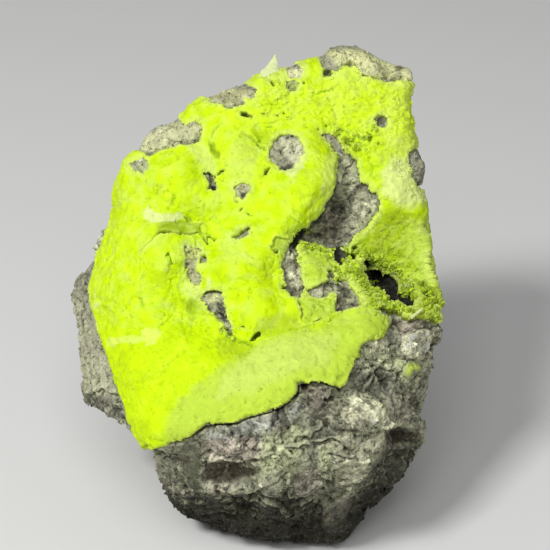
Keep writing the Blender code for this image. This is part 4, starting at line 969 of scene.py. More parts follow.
# --- the evenly meshed surface that everything is grown from ---
class Surface:
    """A closed quad mesh with the fields that shape and colour it, one value for each point."""

    def __init__(self, node, step):
        self.points, self.quads = self.remeshed(node, step)
        edges = np.sort(quad_sides(self.quads), axis=1)
        keys = np.unique(edges[:, 0].astype(np.int64) * len(self.points) + edges[:, 1])
        self.edges = np.column_stack([keys // len(self.points), keys % len(self.points)])
        self.degree = np.bincount(self.edges.reshape(-1), minlength=len(self.points))
        self.refresh()

    @staticmethod
    def remeshed(node, step):
        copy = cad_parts[node].copy()
        copy.data = copy.data.copy()
        bpy.context.scene.collection.objects.link(copy)
        weld = copy.modifiers.new("weld", "WELD")
        weld.merge_threshold = 1e-6
        rounding = copy.modifiers.new("rounding", "SUBSURF")
        rounding.levels = 2
        rounding.render_levels = 2
        remesh = copy.modifiers.new("remesh", "REMESH")
        remesh.mode = "VOXEL"
        remesh.voxel_size = step
        made = copy.evaluated_get(bpy.context.evaluated_depsgraph_get()).to_mesh()
        points = read(made.vertices, "co", float)
        quads = read(made.loops, "vertex_index", int, 1).reshape(-1, 4)
        bpy.data.objects.remove(copy)
        return points, quads

    def refresh(self):
        corners = self.points[self.quads]
        flat = np.cross(corners[:, 2] - corners[:, 0], corners[:, 3] - corners[:, 1])
        normals = np.zeros_like(self.points)
        for axis in range(3):
            for corner in range(4):
                normals[:, axis] += np.bincount(self.quads[:, corner], flat[:, axis], len(self.points))
        self.normals = unit(normals)
        self.cells = cells_of(self.points)
        self.facing = facing_eye(self.points, self.normals)
        self.smooth_normals = unit(np.column_stack([self.blurred(axis, 8) for axis in self.normals.T]))

    def press(self, swells):
        """Moves the front in and out by broad swells, for the rock and the crust alike."""
        moved = in_front(self.facing) * swell_heights(self.cells, swells) * MM
        self.points = self.points + self.smooth_normals * moved[:, None]
        self.refresh()

    def blurred(self, values, rounds):
        return softened(values, self.edges, self.degree, rounds)


# --- where the crust lies ---
def tree_of(mesh):
    return BVHTree.FromPolygons([v.co for v in mesh.vertices], [p.vertices for p in mesh.polygons])


def under(surface, node):
    """1 where a ray out of the surface soon meets the node's underside or face, else 0."""
    tree = tree_of(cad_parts[node].data)
    covered = np.zeros(len(surface.points))
    starts = surface.points - surface.normals * COVER_START
    for index, (start, normal) in enumerate(zip(starts.tolist(), surface.normals.tolist())):
        way = Vector(normal)
        _, face, _, _ = tree.ray_cast(Vector(start), way, COVER_REACH)
        covered[index] = face is not None and abs(face.dot(way)) > COVER_SQUARE
    return covered


def uneven_cover(surface, node):
    """Where the node covers the surface, with a natural edge, as a share that is over 0.5 inside."""
    cover = surface.blurred(under(surface, node), COVER_SOFTENING)
    transition = 4 * cover * (1 - cover)
    return cover + layered(perlin, surface.points, COVER_EDGE) * transition


def trimmed_cover(surface, cover):
    """The cover with the crust's inner part filled and the bare outlines taken out, seen from the front."""
    inner = smoothstep(-1, 1, inside_distance(surface.cells, INNER_CRUST, 2))
    cover = np.maximum(cover, inner * (surface.facing > INNER_LOOK))
    cells = wandering(surface.cells, surface.points)
    frayed = cells + BARE_ROUGHNESS * shifts(surface.points, 0.7 * MM, 1, (33, 34))
    for _, outline in BARE_OUTLINES.values():
        bare = smoothstep(-BARE_EDGE, BARE_EDGE, inside_distance(frayed, outline, 2 * BARE_EDGE))
        cover = np.minimum(cover, 1 - bare * (surface.facing > BARE_LOOK))
    wavering = surface.facing + CRUST_END_WAVES * fractal(surface.points, 5 * MM, 3, 73)
    return np.minimum(cover, np.where(surface.facing > 0, 1, smoothstep(*CRUST_END, wavering)))


class Plate:
    """The part of the surface's quads that a crust covers, as one sheet with a clean boundary."""

    def __init__(self, surface, covered):
        count = len(surface.points)
        self.quads = surface.quads[covered[surface.quads].all(axis=1)]
        self.keep_largest(count)
        while self.drop_pinched(count):
            pass
        self.keep_largest(count)
        self.used, numbers = np.unique(self.quads, return_inverse=True)
        self.quads = numbers.reshape(-1, 4)
        self.rim = self.boundary(self.quads, len(self.used))
        self.level = self.rim_levels()

    @staticmethod
    def boundary(quads, count):
        """Directed edges that no other quad shares, in their quads' order."""
        sides = quad_sides(quads)
        forward = sides[:, 0].astype(np.int64) * count + sides[:, 1]
        backward = sides[:, 1].astype(np.int64) * count + sides[:, 0]
        return sides[~np.isin(forward, backward)]

    def keep_largest(self, count):
        """Drops all quads but those of the largest connected sheet."""
        label = np.arange(count)
        first, second = quad_sides(self.quads).T
        while True:
            lowest = np.minimum(label[first], label[second])
            joined = label.copy()
            np.minimum.at(joined, first, lowest)
            np.minimum.at(joined, second, lowest)
            joined = joined[joined]
            if np.array_equal(joined, label):
                break
            label = joined
        names, sizes = np.unique(label[self.quads[:, 0]], return_counts=True)
        self.quads = self.quads[label[self.quads[:, 0]] == names[sizes.argmax()]]

    def drop_pinched(self, count):
        """Drops the quads round points where the boundary touches itself, and says whether there were any."""
        rim = self.boundary(self.quads, count)
        pinched = np.bincount(rim.reshape(-1), minlength=count) > 2
        touching = pinched[self.quads].any(axis=1)
        self.quads = self.quads[~touching]
        return touching.any()

    def rim_levels(self):
        """Steps from the boundary, up to RIM_STEPS."""
        level = np.full(len(self.used), RIM_STEPS)
        level[self.rim.reshape(-1)] = 0
        for _ in range(1, RIM_STEPS):
            lowest = level[self.quads].min(axis=1)
            grown = level.copy()
            for corner in range(4):
                np.minimum.at(grown, self.quads[:, corner], lowest + 1)
            level = grown
        return level

    def closed_faces(self):
        """Outer face, inner face and the wall between them, where inner points follow the outer ones."""
        inner = self.quads[:, ::-1] + len(self.used)
        start, end = self.rim.T
        wall = np.column_stack([start + len(self.used), end + len(self.used), end, start])
        return np.concatenate([self.quads, inner, wall])


# --- meshes ---
def points_of(piece):
    return read(piece.data.vertices, "co", float)


def normals_of(piece):
    return read(piece.data.vertex_normals, "vector", float)


def facing_of(piece):
    return facing_eye(points_of(piece), normals_of(piece))


def mesh_piece(name, points, faces, node, slot, material, smooth=True):
    mesh = bpy.data.meshes.new(name)
    mesh.from_pydata(points.tolist(), [], faces)
    mesh.polygons.foreach_set("use_smooth", np.full(len(mesh.polygons), smooth))
    mesh.materials.append(material)
    piece = bpy.data.objects.new(name, mesh)
    bpy.context.scene.collection.objects.link(piece)
    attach(piece, "root")
    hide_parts(node)
    return piece


def closed_outwards(name, points, faces, node, slot, material):
    """A flat-shaded piece whose faces are all turned outwards."""
    piece = mesh_piece(name, points, faces, node, slot, material, smooth=False)
    shape = bmesh.new()
    shape.from_mesh(piece.data)
    bmesh.ops.recalc_face_normals(shape, faces=shape.faces)
    shape.to_mesh(piece.data)
    shape.free()
    return piece


def thin_out(piece, triangles, spare):
    """Reduces the mesh to about that many triangles: most go where spare is 1, fewest where it is 0."""
    group = piece.vertex_groups.new(name="spare")
    rounded = np.round(spare, 1)
    for weight in np.unique(rounded):
        group.add(np.flatnonzero(rounded == weight).tolist(), float(weight), "REPLACE")
    reduce = piece.modifiers.new("thin_out", "DECIMATE")
    reduce.ratio = triangles / (2 * len(piece.data.polygons))
    reduce.vertex_group = "spare"
    reduce.vertex_group_factor = SPARE_FACTOR
    made = bpy.data.meshes.new_from_object(piece.evaluated_get(bpy.context.evaluated_depsgraph_get()))
    piece.modifiers.clear()
    piece.vertex_groups.clear()
    piece.data = made


def hollowness(piece, rounds):
    """How deep each point lies below its neighbourhood, in millimetres: negative on ridges."""
    points = points_of(piece)
    edges = read(piece.data.edges, "vertices", int, 2)
    degree = np.maximum(np.bincount(edges.reshape(-1), minlength=len(points)), 1)
    mean = np.column_stack([softened(axis, edges, degree, rounds) for axis in points.T])
    return ((mean - points) * normals_of(piece)).sum(axis=1) / MM


def tint(piece, colours, fourth=1.0):
    layer = piece.data.attributes.new("tint", "FLOAT_COLOR", "POINT")
    filled = np.column_stack([colours, np.broadcast_to(fourth, len(colours))])
    layer.data.foreach_set("color", filled.astype(np.float32).reshape(-1))


def tint_of(piece):
    return read(piece.data.attributes["tint"].data, "color", np.float32, 4)


# --- materials ---
def add_node(tree, kind, inputs=(), **settings):
    made = tree.nodes.new(kind)
    for key, value in settings.items():
        setattr(made, key, value)
    for key, value in dict(inputs).items():
        if isinstance(value, bpy.types.NodeSocket):
            tree.links.new(value, made.inputs[key])
        else:
            made.inputs[key].default_value = value
    return made


def new_material(name):
    material = bpy.data.materials.new(name)
    material.use_nodes = True
    tree = material.node_tree
    place = add_node(tree, "ShaderNodeTexCoord").outputs["Object"]
    colour = add_node(tree, "ShaderNodeAttribute", attribute_name="tint").outputs["Color"]
    return material, tree, tree.nodes["Principled BSDF"], place, colour


def noise_node(tree, place, size, detail, roughness):
    values = {"Vector": place, "Scale": 1 / size, "Detail": detail, "Roughness": roughness}
    return add_node(tree, "ShaderNodeTexNoise", values).outputs["Fac"]


def cell_node(tree, place, size, output):
    values = {"Vector": place, "Scale": 1 / size}
    return add_node(tree, "ShaderNodeTexVoronoi", values, feature="F1").outputs[output]


def range_node(tree, value, low, high, to_low, to_high):
    values = {"Value": value, "From Min": low, "From Max": high, "To Min": to_low, "To Max": to_high}
    return add_node(tree, "ShaderNodeMapRange", values).outputs["Result"]


def bump_node(tree, height, strength, distance, below=None):
    values = {"Height": height, "Strength": strength, "Distance": distance}
    if below is not None:
        values["Normal"] = below
    return add_node(tree, "ShaderNodeBump", values).outputs["Normal"]


def scaled_colour(tree, colour, share):
    """The colour made darker or lighter by a share for each point."""
    values = {0: colour, "Scale": share}
    return add_node(tree, "ShaderNodeVectorMath", values, operation="SCALE").outputs["Vector"]


def toned(tree, place, colour, tones):
    for size, detail, roughness, *span in tones:
        share = range_node(tree, noise_node(tree, place, size, detail, roughness), *span)
        colour = scaled_colour(tree, colour, share)
    return colour


def crust_material(name, roughness, sparkle):
    """Fine scaly crystals: small tone changes, and facets that each catch the light their own way."""
    material, tree, shader, place, colour = new_material(name)
    scales = cell_node(tree, place, 0.42 * MM, "Distance")
    grain = noise_node(tree, place, 0.22 * MM, 2, 0.6)
    coarse = bump_node(tree, scales, sparkle, 0.07 * MM)
    gloss = range_node(tree, grain, 0.35, 0.65, roughness - CRUST_GLOSS, roughness + CRUST_GLOSS)
    tree.links.new(toned(tree, place, colour, CRUST_TONES), shader.inputs["Base Color"])
    tree.links.new(bump_node(tree, grain, sparkle, 0.04 * MM, coarse), shader.inputs["Normal"])
    tree.links.new(gloss, shader.inputs["Roughness"])
    shader.inputs["Specular IOR Level"].default_value = CRUST_SHINE
    shader.inputs["Subsurface Weight"].default_value = CRUST_SCATTER_WEIGHT
    shader.inputs["Subsurface Radius"].default_value = CRUST_SCATTER
    shader.inputs["Subsurface Scale"].default_value = 1.0
    return material


def rock_material(name, roughness, speckle):
    """Mixed grains: pale and dark specks, a rough break, and some grains that shine."""
    material, tree, shader, place, colour = new_material(name)
    speck = cell_node(tree, place, 0.45 * MM, "Color")
    red = add_node(tree, "ShaderNodeSeparateColor", {"Color": speck}).outputs["Red"]
    specked = scaled_colour(tree, colour, range_node(tree, red, 0.0, 1.0, 1 - speckle, 1 + speckle))
    rough = bump_node(tree, noise_node(tree, place, 0.9 * MM, 6, 0.7), 0.6, 0.35 * MM)
    seams = cell_node(tree, place, 0.5 * MM, "Distance")
    gloss = range_node(tree, red, 0.82, 0.9, roughness, roughness - ROCK_GLOSS)
    tree.links.new(toned(tree, place, specked, ROCK_TONES), shader.inputs["Base Color"])
    tree.links.new(bump_node(tree, seams, 0.4, 0.15 * MM, rough), shader.inputs["Normal"])
    tree.links.new(gloss, shader.inputs["Roughness"])
    shader.inputs["Specular IOR Level"].default_value = ROCK_SHINE
    return material


# --- the rock ---
def rock_relief(surface, cells):
    """Millimetres by which the broken rock stands above the smooth surface."""
    front = in_front(surface.facing)
    bent = rock_grain_space(surface.points)
    relief = layered(ridges, bent, ROCK_RIDGES) + layered(fractal, surface.points, ROCK_WAVES)
    for size, steepness, seed in ROCK_GRAINS:
        relief += size / MM * steepness * facets(bent, size, seed)
    relief -= ROCK_HOLLOWS * smoothstep(0.42, 0.9, fractal(bent, 2.2 * MM, 2, 47))
    relief += layered(creases, bent, ROCK_CRACKS)
    relief *= 1 - CALM_RELIEF * calm_share(cells) * front
    relief += front * (step_heights(cells, ROCK_LEDGES) + swell_heights(cells, ROCK_SWELLS))
    return np.minimum(relief, HIGH_ROCK + HIGH_ROCK_SHARE * (relief - HIGH_ROCK))


def window_floors(surface, cells, relief):
    """The rock's relief with each bare outline filled to the height that it stands at, and its pits."""
    front = in_front(surface.facing)
    for rise, outline in BARE_OUTLINES.values():
        share = smoothstep(-WINDOW_SILL, 0, inside_distance(cells, outline, WINDOW_SILL)) * front
        relief = relief * (1 - WINDOW_CALM * np.clip(rise, 0, 1) * share) + rise * share
    return relief - front * pit_depths(cells, ROCK_PITS, perlin(surface.points, 0.8 * MM, 5))


def settled_relief(surface, cells, plate):
    """The rock's relief beside and under its crust, and how much of each spot is the gap along the crust."""
    covered = np.zeros(len(surface.points))
    covered[plate.used] = 1
    nearness = surface.blurred(covered, 4)
    relief = rock_relief(surface, cells) * (1 - UNDER_CRUST_CALM * nearness)
    relief = window_floors(surface, cells, relief)
    gap = smoothstep(*TRENCH_EDGE, nearness * (1 - covered)) * in_front(surface.facing)
    gap *= smoothstep(*TRENCH_BREAKS, perlin(surface.points, 3 * MM, 72))
    gap *= smoothstep(*TRENCH_ROWS, surface.cells[:, 1])
    relief = (relief - TRENCH_DEPTH * gap) * smoothstep(*LEVEL_FOOT, surface.points[:, 2])
    return relief, gap


def rock_tones(bent, cells):
    """How light or dark the grains and flecks make each spot, beside its colour."""
    tones = np.full(len(bent), ROCK_BRIGHTNESS)
    for size, _, seed in ROCK_GRAINS:
        depth, tone = grain_values(bent, size, seed)
        tones *= 1 + GRAIN_CONTRAST * np.clip(tone, -1, 1)
        tones *= 1 - SEAM_DARKNESS * (1 - smoothstep(0, SEAM_WIDTH, depth))
    fleck = fractal(bent, 0.9 * MM, 3, 28)
    tones *= 1 - DARK_FLECKS[0] * smoothstep(*DARK_FLECKS[1:], fleck)
    tones *= 1 + PALE_FLECKS[0] * smoothstep(*PALE_FLECKS[1:], fleck)
    return tones + (1 - tones) * CALM_TONES * calm_share(cells)


def rock_colours(rock, rest, gap):
    """The rock's colours, with painted shade in its hollows, at its foot and in the gap beside the crust, and
    painted highlight on its ridges: rest says where each of its points lay before the relief.
    """
    points = points_of(rock)
    cells = wandering(cells_of(points), points)
    front = smoothstep(*PAINT_LOOK, facing_of(rock))
    hollow = hollowness(rock, 4)
    bent = rock_grain_space(rest)
    colours = clouded(plain(GREY, len(rest)), rest, ROCK_CLOUDS)
    colours = painted(colours, cells, ROCK_ZONES, front)
    colours = np.clip(colours * rock_tones(bent, cells)[:, None], 0, BRIGHTEST_ROCK)
    colours = clouded(colours, bent, STAINS)
    # painted shade in the rock's hollows and painted highlight on its ridges
    colours = shaded(colours, hollow, ROCK_HOLLOW_SHADE)
    colours = shaded(colours, hollow, ROCK_RIDGE_HIGHLIGHT)
    # painted shade: the rock darkens towards its foot
    heights = points[:, 2] + ROCK_FOOT_SHADE_WAVES * fractal(points, 12 * MM, 3, 27)
    colours = shaded(colours, heights, (DEEP_SHADE, ROCK_FOOT_SHADE_STRENGTH, *ROCK_FOOT_SHADE_HEIGHTS))
    colours = painted(colours, cells, ROCK_DEPTHS, front)
    # painted shade in the gap beside the crust
    return mixed(colours, BLACK, GAP_SHADE * gap)


def rock_piece(surface, relief, gap, plates, material):
    hidden = np.zeros(len(surface.points), bool)
    for plate in plates:
        hidden[plate.used] = plate.level > 0
    points = surface.points + surface.normals * (relief * MM - ROCK_SINK * hidden)[:, None]
    points[:, 2] = np.maximum(points[:, 2], 0)
    rock = mesh_piece("rock", points, surface.quads.tolist(), "rock_matrix", "host_rock", material)
    tint(rock, surface.points, gap)  # carries both through the thinning out
    spare = np.where(surface.facing > SPARE_BACK, 0.1, 0.6)
    thin_out(rock, ROCK_TRIANGLES, np.where(hidden, 1.0, spare))
    carried = tint_of(rock)
    rock.data.attributes.remove(rock.data.attributes["tint"])
    tint(rock, rock_colours(rock, carried[:, :3], carried[:, 3]))
    return rock


# --- the crust ---
def crust_relief(surface, cells, plate):
    """Millimetres by which the crust's face stands above its even height, and how deep its pits are."""
    points = surface.points[plate.used]
    cells = cells[plate.used]
    facing = surface.facing[plate.used]
    front = in_front(facing)
    rim_crumble = RIM_CRUMBLE * (1 - smoothstep(1, RIM_STEPS, plate.level))
    crumbly = np.maximum(crumbliness(cells, facing), rim_crumble)
    bent = bent_about(points, 0.8 * MM, 2.6 * MM, 51)
    relief = layered(fractal, points, CRUST_WAVES) + layered(facets, bent, CRUST_FACETS)
    relief += layered(creases, bent, CRUST_CRACKS)
    relief += 0.1 * (grains(bent, 3.4 * MM, 8) ** 0.5 - 0.7)
    relief += crumbly * (0.5 * grains(bent, 1.0 * MM, 11) + 0.2 * ridges(bent, 0.6 * MM, 12) - 0.3)
    relief += front * (step_heights(cells, LEDGES) + swell_heights(cells, CRUST_SWELLS))
    cuts = front * groove_depths(cells, GROOVES)
    pits = front * pit_depths(cells, CRUST_PITS, perlin(points, 0.7 * MM, 6))
    return relief - cuts - pits, np.maximum(pits, 0.8 * cuts)


def crust_heights(surface, cells, plate, floor):
    """The crust's height at each of the plate's points, never under the rock's own relief, and its pits."""
    relief, pits = crust_relief(surface, cells, plate)
    profile = plate.level / RIM_STEPS
    varied = RIM_HEIGHT + RIM_VARIES * fractal(surface.points[plate.used], 2.2 * MM, 2, 71)
    rim_height = np.clip(varied, 0.3, 1)
    share = rim_height + (1 - rim_height) * np.sqrt(1 - (1 - profile) ** 2)
    heights = (CRUST_HEIGHT + relief * MM * (0.5 + 0.5 * profile)) * share
    return np.maximum(heights, (floor[plate.used] + LEAST_CRUST) * MM), pits


def crust_piece(name, node, surface, plate, heights, floor, material):
    """A closed crust over a plate: its face, its sunk underside and the wall round its rim."""
    base = surface.points[plate.used]
    distance, _, _ = line_distance(surface.cells[plate.used], LEDGES["upper_plate"][2], CLIFF_REACH[1])
    jut = CLIFF_JUT * (1 - smoothstep(*CLIFF_REACH, distance)) * in_front(surface.facing[plate.used])
    outer = base + unit(surface.smooth_normals[plate.used] + jut[:, None] * OUT) * heights[:, None]
    inner = base + surface.normals[plate.used] * (floor[plate.used] * MM - CRUST_ROOT)[:, None]
    points = np.concatenate([outer, inner])
    return mesh_piece(name, points, plate.closed_faces().tolist(), node, "autunite", material)


def crust_colours(points, cells, facing, pits, hollow, from_rim):
    front = smoothstep(*PAINT_LOOK, facing)
    bent = bent_about(points, 0.6 * MM, 1.6 * MM, 81)
    colours = clouded(plain(LIME, len(points)), points, DEEP_CLOUDS)
    colours = clouded(colours, bent, MOSS_CLOUDS)
    colours = clouded(colours, points, BRIGHT_CLOUDS)
    ragged = cells + RAGGED * shifts(points, 0.8 * MM, 2, (35, 36))
    ragged += 2 * RAGGED * shifts(points, 3.5 * MM, 2, (37, 38))
    colours = painted(colours, ragged, CRUST_ZONES, front)
    # painted highlight along each ledge's lip and painted shade along its foot
    lip_highlight, foot = ledge_highlight_and_shade(cells)
    colours = mixed(colours, BRIGHT_PALE, LEDGE_LIP_HIGHLIGHT * lip_highlight * front)
    colours = mixed(colours, OLIVE, LEDGE_FOOT_SHADE * foot * front)
    beside_window = (1 - smoothstep(*PALE_RIM, from_rim)) * (cells[:, 1] < WINDOW_ROWS)
    colours = mixed(colours, PALE, RIM_PAINT * beside_window)
    # painted shade in the crust's hollows and painted highlight on its ridges
    colours = shaded(colours, hollow, CRUST_HOLLOW_SHADE)
    colours = shaded(colours, hollow, CRUST_RIDGE_HIGHLIGHT, front)
    return shaded(colours, pits, CRUST_PIT_SHADE)


def main_crust(surface, cells, plate, floor, material):
    heights, pits = crust_heights(surface, cells, plate, floor)
    crust = crust_piece("crust", "autunite_crust", surface, plate, heights, floor, material)
    count = len(plate.used)
    points = surface.points[plate.used]
    from_rim = plate.level + 2 * perlin(points, 1.5 * MM, 17)
    hollow = hollowness(crust, 5)[:count]
    colours = crust_colours(points, cells[plate.used], surface.facing[plate.used], pits, hollow, from_rim)
    tint(crust, np.tile(colours, (2, 1)))
    thin_out(crust, CRUST_TRIANGLES, np.concatenate([np.zeros(count), plate.level >= 2]))
    return crust


def small_patch(surface, patch, floor, material):
    """The spot of thin crust on the bare rock."""
    points = surface.points[patch.used]
    heights = PATCH_HEIGHT * (PATCH_EDGE + (1 - PATCH_EDGE) * patch.level / RIM_STEPS)
    heights += 0.15 * MM * perlin(points, 0.9 * MM, 18)
    heights = np.maximum(heights, (floor[patch.used] + 0.4 * LEAST_CRUST) * MM)
    colours = mixed(plain(BRIGHT_PALE, len(points)), LIME, 0.3 + perlin(points, 1.2 * MM, 19))
    at_edge = 1 - smoothstep(0, RIM_STEPS, patch.level + 2 * perlin(points, MM, 20))
    colours = mixed(colours, GREEN_GREY, at_edge)
    piece = crust_piece("patch", "autunite_patch", surface, patch, heights, floor, material)
    tint(piece, np.tile(colours, (2, 1)))


# --- small crystals and grains ---
def blocks(rng, middles, normals, sizes, kind):
    """Corners of small blocks or tablets, each turned its own way about its normal and leaning."""
    count = len(middles)
    through = unit(normals + kind.lean * rng.normal(size=(count, 3)))
    across = unit(np.cross(through, rng.normal(size=(count, 3))))
    along = np.cross(through, across)
    corners = []
    for a, b, c in BLOCK_CORNERS:
        reach = rng.uniform(1 - kind.jitter, 1 + kind.jitter, (count, 3)) * sizes[:, None] / 2
        offset = across * (a * reach[:, :1]) + along * (b * reach[:, 1:2])
        corners.append(middles + offset + through * (c * reach[:, 2:] * kind.flatness))
    points = np.stack(corners, axis=1).reshape(-1, 3)
    faces = (np.array(BLOCK_FACES)[None] + 8 * np.arange(count)[:, None, None]).reshape(-1, 4)
    return points, faces.tolist()


def scattered_blocks(name, host, node, slot, material, weights, count, kind):
    """Small crystals or grains growing out of the host piece, tinted like the spots that they grow on."""
    rng = np.random.default_rng(SEED + count)
    picked = rng.choice(len(weights), size=count, replace=False, p=weights / weights.sum())
    normals = normals_of(host)[picked]
    sizes = rng.uniform(0, 1, count) ** 2 * (kind.sizes[1] - kind.sizes[0]) + kind.sizes[0]
    middles = points_of(host)[picked] - normals * (sizes * BLOCK_SINK)[:, None]
    points, faces = blocks(rng, middles, normals, sizes, kind)
    piece = mesh_piece(name, points, faces, node, slot, material, smooth=False)
    colours = tint_of(host)[picked, :3] * rng.uniform(*kind.tones, count)[:, None]
    tint(piece, np.repeat(np.clip(colours, 0, 1), 8, axis=0))


def crust_tablets(crust, material):
    facing = facing_of(crust)
    crumbly = crumbliness(cells_of(points_of(crust)), facing) * (facing > 0.1)
    weights = (TABLETS_EVERYWHERE + crumbly) * (facing > -0.5)
    grown_on = (crust, "autunite_crust", "autunite", material)
    scattered_blocks("crust_tablets", *grown_on, weights, TABLET_COUNT, TABLETS)


def rock_grains(rock, material):
    weights = np.where(points_of(rock)[:, 2] < 1.5 * MM, 0.0, 1.0)
    grown_on = (rock, "rock_matrix", "host_rock", material)
    scattered_blocks("rock_grains", *grown_on, weights, GRAIN_COUNT, GRAINS)


def on_front(trees, column, row):
    """Where the sight line of a cell first meets a surface."""
    way = Vector(on_grid(column, row) - EYE).normalized()
    hits = [tree.ray_cast(Vector(EYE), way) for tree in trees]
    hits = [hit for hit in hits if hit[0] is not None]
    return np.array(min(hits, key=lambda hit: hit[3])[0]) if hits else None


def druse(trees, material):
    """Clusters of tablets that stand every way out of the crust, joined in one mesh."""
    rng = np.random.default_rng(SEED)
    middles = []
    sizes = []
    for column, row, largest, count in DRUSE:
        level = on_front(trees, column, row)
        if level is None:
            continue
        for _ in range(count):
            across, down = rng.normal(size=2) * DRUSE_SPREAD
            met = on_front(trees, column + across, row + down)
            if met is not None and np.linalg.norm(met - level) < DRUSE_DEPTH:
                middles.append(met + OUT * rng.uniform(*DRUSE_RISE) * MM)
                sizes.append(largest * rng.uniform(*DRUSE_TABLETS.sizes) * MM)
    middles = np.array(middles)
    count = len(middles)
    points, faces = blocks(rng, middles, plain(OUT, count), np.array(sizes), DRUSE_TABLETS)
    piece = mesh_piece("druse", points, faces, "autunite_crust", "autunite", material, smooth=False)
    tones = rng.uniform(0, 1, count)
    colours = mixed(plain(BAND, count), LIME, 0.6 * smoothstep(0.4, 1.0, tones))
    colours = mixed(colours, OLIVE, 0.9 * smoothstep(0.5, 0.0, tones))
    colours = mixed(colours, BONE, 0.6 * (tones > 0.93))
    tint(piece, np.repeat(colours * rng.uniform(*DRUSE_TABLETS.tones, count)[:, None], 8, axis=0))


# --- the two single crystals ---
def corners_of(node):
    return np.array([v.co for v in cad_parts[node].data.vertices])


def ring_faces(rings, sides):
    """Walls between rings of points that follow one another, and a cap at each end."""
    start = np.arange(sides)
    following = np.roll(start, -1)
    ring = np.column_stack([start, following, following + sides, start + sides])
    walls = np.concatenate([ring + below * sides for below in range(rings - 1)])
    caps = [list(range(sides))[::-1], list(range((rings - 1) * sides, rings * sides))]
    return walls.tolist() + caps


def turns(sides):
    return np.linspace(0, 2 * math.pi, sides, endpoint=False)


def spike(trees, material):
    """The blade that stands on the rim: wide and ragged where it leaves the crust, narrow at its tip."""
    tip_depth = ((corners_of("rim_crystal") - FACE_MIDDLE) @ OUT).mean()
    foot = on_front(trees, *SPIKE_RINGS[0][:2])
    foot_depth = (foot - FACE_MIDDLE) @ OUT - SPIKE_RINGS[0][3] * MM
    first, last = SPIKE_RINGS[0][1], SPIKE_RINGS[-1][1]
    points = []
    for column, row, half_width, thickness in SPIKE_RINGS:
        depth = foot_depth + (tip_depth - foot_depth) * (first - row) / (first - last)
        middle = EYE + (on_grid(column, row) - EYE) * (EYE_DISTANCE - depth) / EYE_DISTANCE
        for angle in turns(SPIKE_SIDES):
            wobble = 1 + SPIKE_UNEVENNESS * noise.noise((column * 0.3, row * 0.3, angle * 1.5))
            aside = RIGHT * math.cos(angle) * half_width * CELL
            points.append(middle + (aside + OUT * math.sin(angle) * thickness / 2 * MM) * wobble)
    points = np.array(points)
    faces = ring_faces(len(SPIKE_RINGS), SPIKE_SIDES)
    piece = closed_outwards("rim_crystal_spike", points, faces, "rim_crystal", "pale_crystal", material)
    above_foot = smoothstep(first, first - SPIKE_FOOT, cells_of(points)[:, 1])
    tint(piece, mixed(plain(PALE, len(points)), SPIKE_COLOUR, above_foot))


def lath(material):
    """The slim tapering crystal by the cavity, along its node's own long axis."""
    corners = corners_of("lath_crystal")
    middle = corners.mean(axis=0)
    _, _, axes = np.linalg.svd(corners - middle)
    reach = (corners - middle) @ axes[0] * np.sign(axes[0] @ UP)
    ends = corners[reach < 0], corners[reach > 0]
    points = []
    middles = [end.mean(axis=0) for end in ends]
    extents = [np.ptp(end @ axes[1:].T, axis=0) for end in ends]
    for share in np.linspace(0, 1, LATH_RINGS):
        centre = middles[0] * (1 - share) + middles[1] * share
        width, thickness = extents[0] * (1 - share) + extents[1] * share
        narrowing = 1 - LATH_TAPER * smoothstep(0.75, 1.0, share)
        for angle in turns(LATH_SIDES):
            offset = axes[1] * math.cos(angle) * width + axes[2] * math.sin(angle) * thickness
            wobble = 1 + LATH_UNEVENNESS * noise.noise(centre / MM * 0.9 + (angle, 0, 0))
            points.append(centre + offset * 0.5 * narrowing * wobble)
    points = np.array(points)
    faces = ring_faces(LATH_RINGS, LATH_SIDES)
    piece = closed_outwards("lath", points, faces, "lath_crystal", "pale_crystal", material)
    tint(piece, plain(BONE, len(points)))


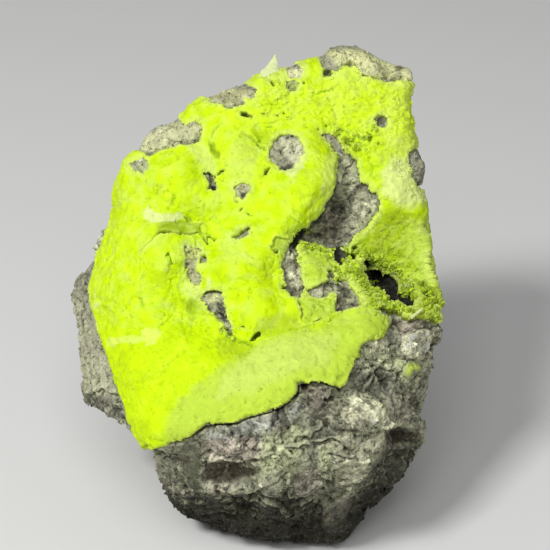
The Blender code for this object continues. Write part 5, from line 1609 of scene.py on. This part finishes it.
# --- the whole specimen ---
def build():
    autunite = crust_material("autunite", 0.62, 0.35)
    tablets = crust_material("autunite_tablets", 0.5, 0.1)
    rock_finish = rock_material("host_rock", 0.88, 0.14)
    grain_finish = rock_material("rock_grains", 0.6, 0.1)
    pale = crust_material("pale_crystal", 0.35, 0.25)

    surface = Surface("rock_matrix", MESH_STEP)
    plate = Plate(surface, trimmed_cover(surface, uneven_cover(surface, "autunite_crust")) > 0.5)
    patch = Plate(surface, uneven_cover(surface, "autunite_patch") > 0.5)
    surface.press(FORM_SWELLS)
    cells = wandering(surface.cells, surface.points)
    relief, gap = settled_relief(surface, cells, plate)

    rock = rock_piece(surface, relief, gap, (plate, patch), rock_finish)
    crust = main_crust(surface, cells, plate, relief, autunite)
    small_patch(surface, patch, relief, autunite)
    crust_tablets(crust, tablets)
    rock_grains(rock, grain_finish)
    trees = [tree_of(crust.data), tree_of(rock.data)]
    druse(trees, tablets)
    spike(trees, pale)
    lath(pale)


# --- floor, light and camera ---
def add_floor():
    bpy.ops.mesh.primitive_plane_add(size=FLOOR_SIZE)
    floor = bpy.context.object
    floor.name = "floor"
    material = bpy.data.materials.new("floor")
    material.use_nodes = True
    shader = material.node_tree.nodes["Principled BSDF"]
    shader.inputs["Base Color"].default_value = (*FLOOR_COLOUR, 1)
    shader.inputs["Roughness"].default_value = 0.9
    floor.data.materials.append(material)


def add_light(name, place, size, power):
    light = bpy.data.lights.new(name, "AREA")
    light.size = size
    light.energy = power
    lamp = bpy.data.objects.new(name, light)
    lamp.location = place
    lamp.rotation_euler = Vector(FACE_MIDDLE - place).to_track_quat("-Z", "Y").to_euler()
    bpy.context.scene.collection.objects.link(lamp)


def add_world():
    world = bpy.data.worlds.new("studio")
    world.use_nodes = True
    background = world.node_tree.nodes["Background"]
    background.inputs["Color"].default_value = (*WORLD_COLOUR, 1)
    background.inputs["Strength"].default_value = WORLD_STRENGTH
    bpy.context.scene.world = world


def add_camera():
    data = bpy.data.cameras.new("camera")
    data.sensor_width = 36
    data.lens = data.sensor_width * EYE_DISTANCE / (GRID_SIZE * CELL)
    data.clip_start = 0.01
    camera = bpy.data.objects.new("camera", data)
    turn = Matrix((RIGHT, UP, OUT)).transposed()
    camera.matrix_world = Matrix.Translation(Vector(EYE)) @ turn.to_4x4()
    bpy.context.scene.collection.objects.link(camera)
    bpy.context.scene.camera = camera


build()
add_floor()
add_world()
for light_name, measures in LIGHTS.items():
    add_light(light_name, *measures)
add_camera()
bpy.context.scene.view_settings.view_transform = "Standard"
